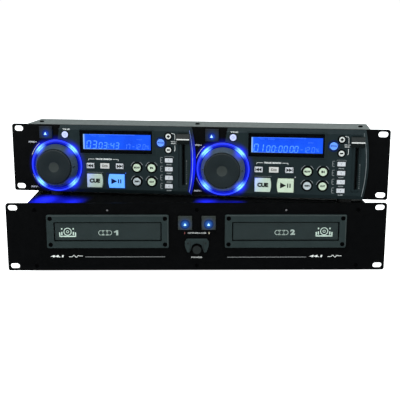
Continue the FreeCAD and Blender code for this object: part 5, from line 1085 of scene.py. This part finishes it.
    SurfaceMarks(CONTROL, -7.2).arc(x0 + 12.5, 76.1, 1.7, 0.4, 0, 360, 24).path([(x0 + 12.5, 77.2), (x0 + 12.5, 76.1), (x0 + 13.3, 75.6)], 0.35).done(
        k + "_mark", k, finish(k + "_ink", (0.20, 0.21, 0.42), 0.5, specular=0.3), "key_white")
    for j, kz in enumerate((45.4, 34.1, 22.8, 11.8)):
        k = pre + "program_key_%d" % (j + 1)
        SurfaceMarks(CONTROL, -7.2).text(str(j + 1), x0 + 147.35, kz, 2.2, bold=0.02).done(k + "_mark", k, finish(k + "_ink", (0.14, 0.15, 0.16), 0.5, specular=0.3), "key_silver")
    k = pre + "eject_key"
    SurfaceMarks(CONTROL, -2.4, 0.02).disc(x0 - 14.6, 76.3, 4.8, 48).done(pre + "eject_lamp", k, EJECT_LENS[n], "key_grey")
    SurfaceMarks(CONTROL, -2.4, 0.06).triangle(x0 - 15.1, 76.6, 3.4, 3.7, "up").done(pre + "eject_arrow", k, ARROW_LIT, "key_grey")
    k = pre + "pitch_fader"
    SurfaceMarks(CONTROL, -14.4, 0.08).rect(x0 + 166.35, 73.3, 16.3, 1.5).done(pre + "fader_line", k, TICK, "knob_black")

    # painted highlight along the fascia's curved right edge, blue on deck 1 as painted light of ring 2
    SurfaceMarks(CONTROL, -4.6, 0.0, 1.0).arc(x0 - 8.36, 44.05, 186.0, 0.7, -12.3, 12.3, 24).done(pre + "fascia_edge_painted_highlight", "controller", EDGE_HIGHLIGHT[n], "slate_plastic")
    # the lamp by the play key
    SurfaceMarks(CONTROL, -6, 0.25).disc(x0 + 90.9, 27.3, 0.75, 20).done(pre + "play_lamp", "controller", LED_BLUE if n == 1 else INK_GREY, "light_guide")

    # what the display shows
    strokes, dim = SurfaceMarks(CONTROL, -3.2, 0.015), SurfaceMarks(CONTROL, -3.2, 0.015)
    base = 57.9
    if n == 1:
        for ch, x in (("0", 38.9), ("3", 46.6)):
            strokes.digit(ch, x0 + x, base, 6.0, 10.6, 1.15)
        for ch, x in (("0", 55.2), ("3", 61.4), ("4", 70.6), ("3", 77.0)):
            strokes.digit(ch, x0 + x, base, 4.9, 8.6, 0.95)
        strokes.rect(x0 + 68.6, base + 2.4, 0.9, 0.9).rect(x0 + 69.1, base + 6.0, 0.9, 0.9)
        for ch, x in (("1", 88.6), ("7", 92.8)):
            dim.digit(ch, x0 + x, base, 3.6, 7.0, 0.75)
        for ch, x in (("-", 98.6), ("1", 101.6), ("2", 106.0)):
            dim.digit(ch, x0 + x, base, 3.9, 7.0, 0.75)
        dim.rect(x0 + 111.0, base + 0.5, 0.8, 0.8)
        dim.digit("0", x0 + 112.6, base, 3.7, 7.0, 0.7)
        dim.text("%", x0 + 119.4, base + 3.0, 4.6)
    else:
        for ch, x in (("0", 37.6), ("1", 44.0)):
            strokes.digit(ch, x0 + x, base, 6.0, 10.6, 1.15)
        for ch, x in (("0", 53.6), ("0", 60.0), ("0", 68.8), ("0", 75.2), ("0", 82.6), ("0", 88.4)):
            strokes.digit(ch, x0 + x, base, 4.9, 8.6, 0.95)
        strokes.rect(x0 + 66.6, base + 2.4, 0.8, 0.8).rect(x0 + 67.1, base + 6.0, 0.8, 0.8)
        for ch, x in (("-", 95.4), ("1", 98.6), ("2", 103.2)):
            dim.digit(ch, x0 + x, base, 4.2, 7.6, 0.8)
        dim.rect(x0 + 108.2, base + 0.5, 0.8, 0.8)
        dim.digit("0", x0 + 109.8, base, 4.0, 7.6, 0.75)
        dim.text("%", x0 + 117.4, base + 3.2, 4.8)
    dim.rect(x0 + 73.0, 76.35, 60.0, 0.5)
    dim.text("TRACK", x0 + 48.6, 74.4, 1.3, width=6.2)
    dim.text("ELAPSED", x0 + 60.4, 74.4, 1.3, width=8.0)
    dim.text("PITCH", x0 + 109.0, 70.6, 1.3, width=6.0)
    strokes.done(pre + "display_figures", "controller", DIGIT, "light_guide")
    dim.done(pre + "display_small_figures", "controller", DIGIT_DIM, "light_guide")


# ------------------------------------------------------------------ last steps

set_camera()
set_world()
set_studio()
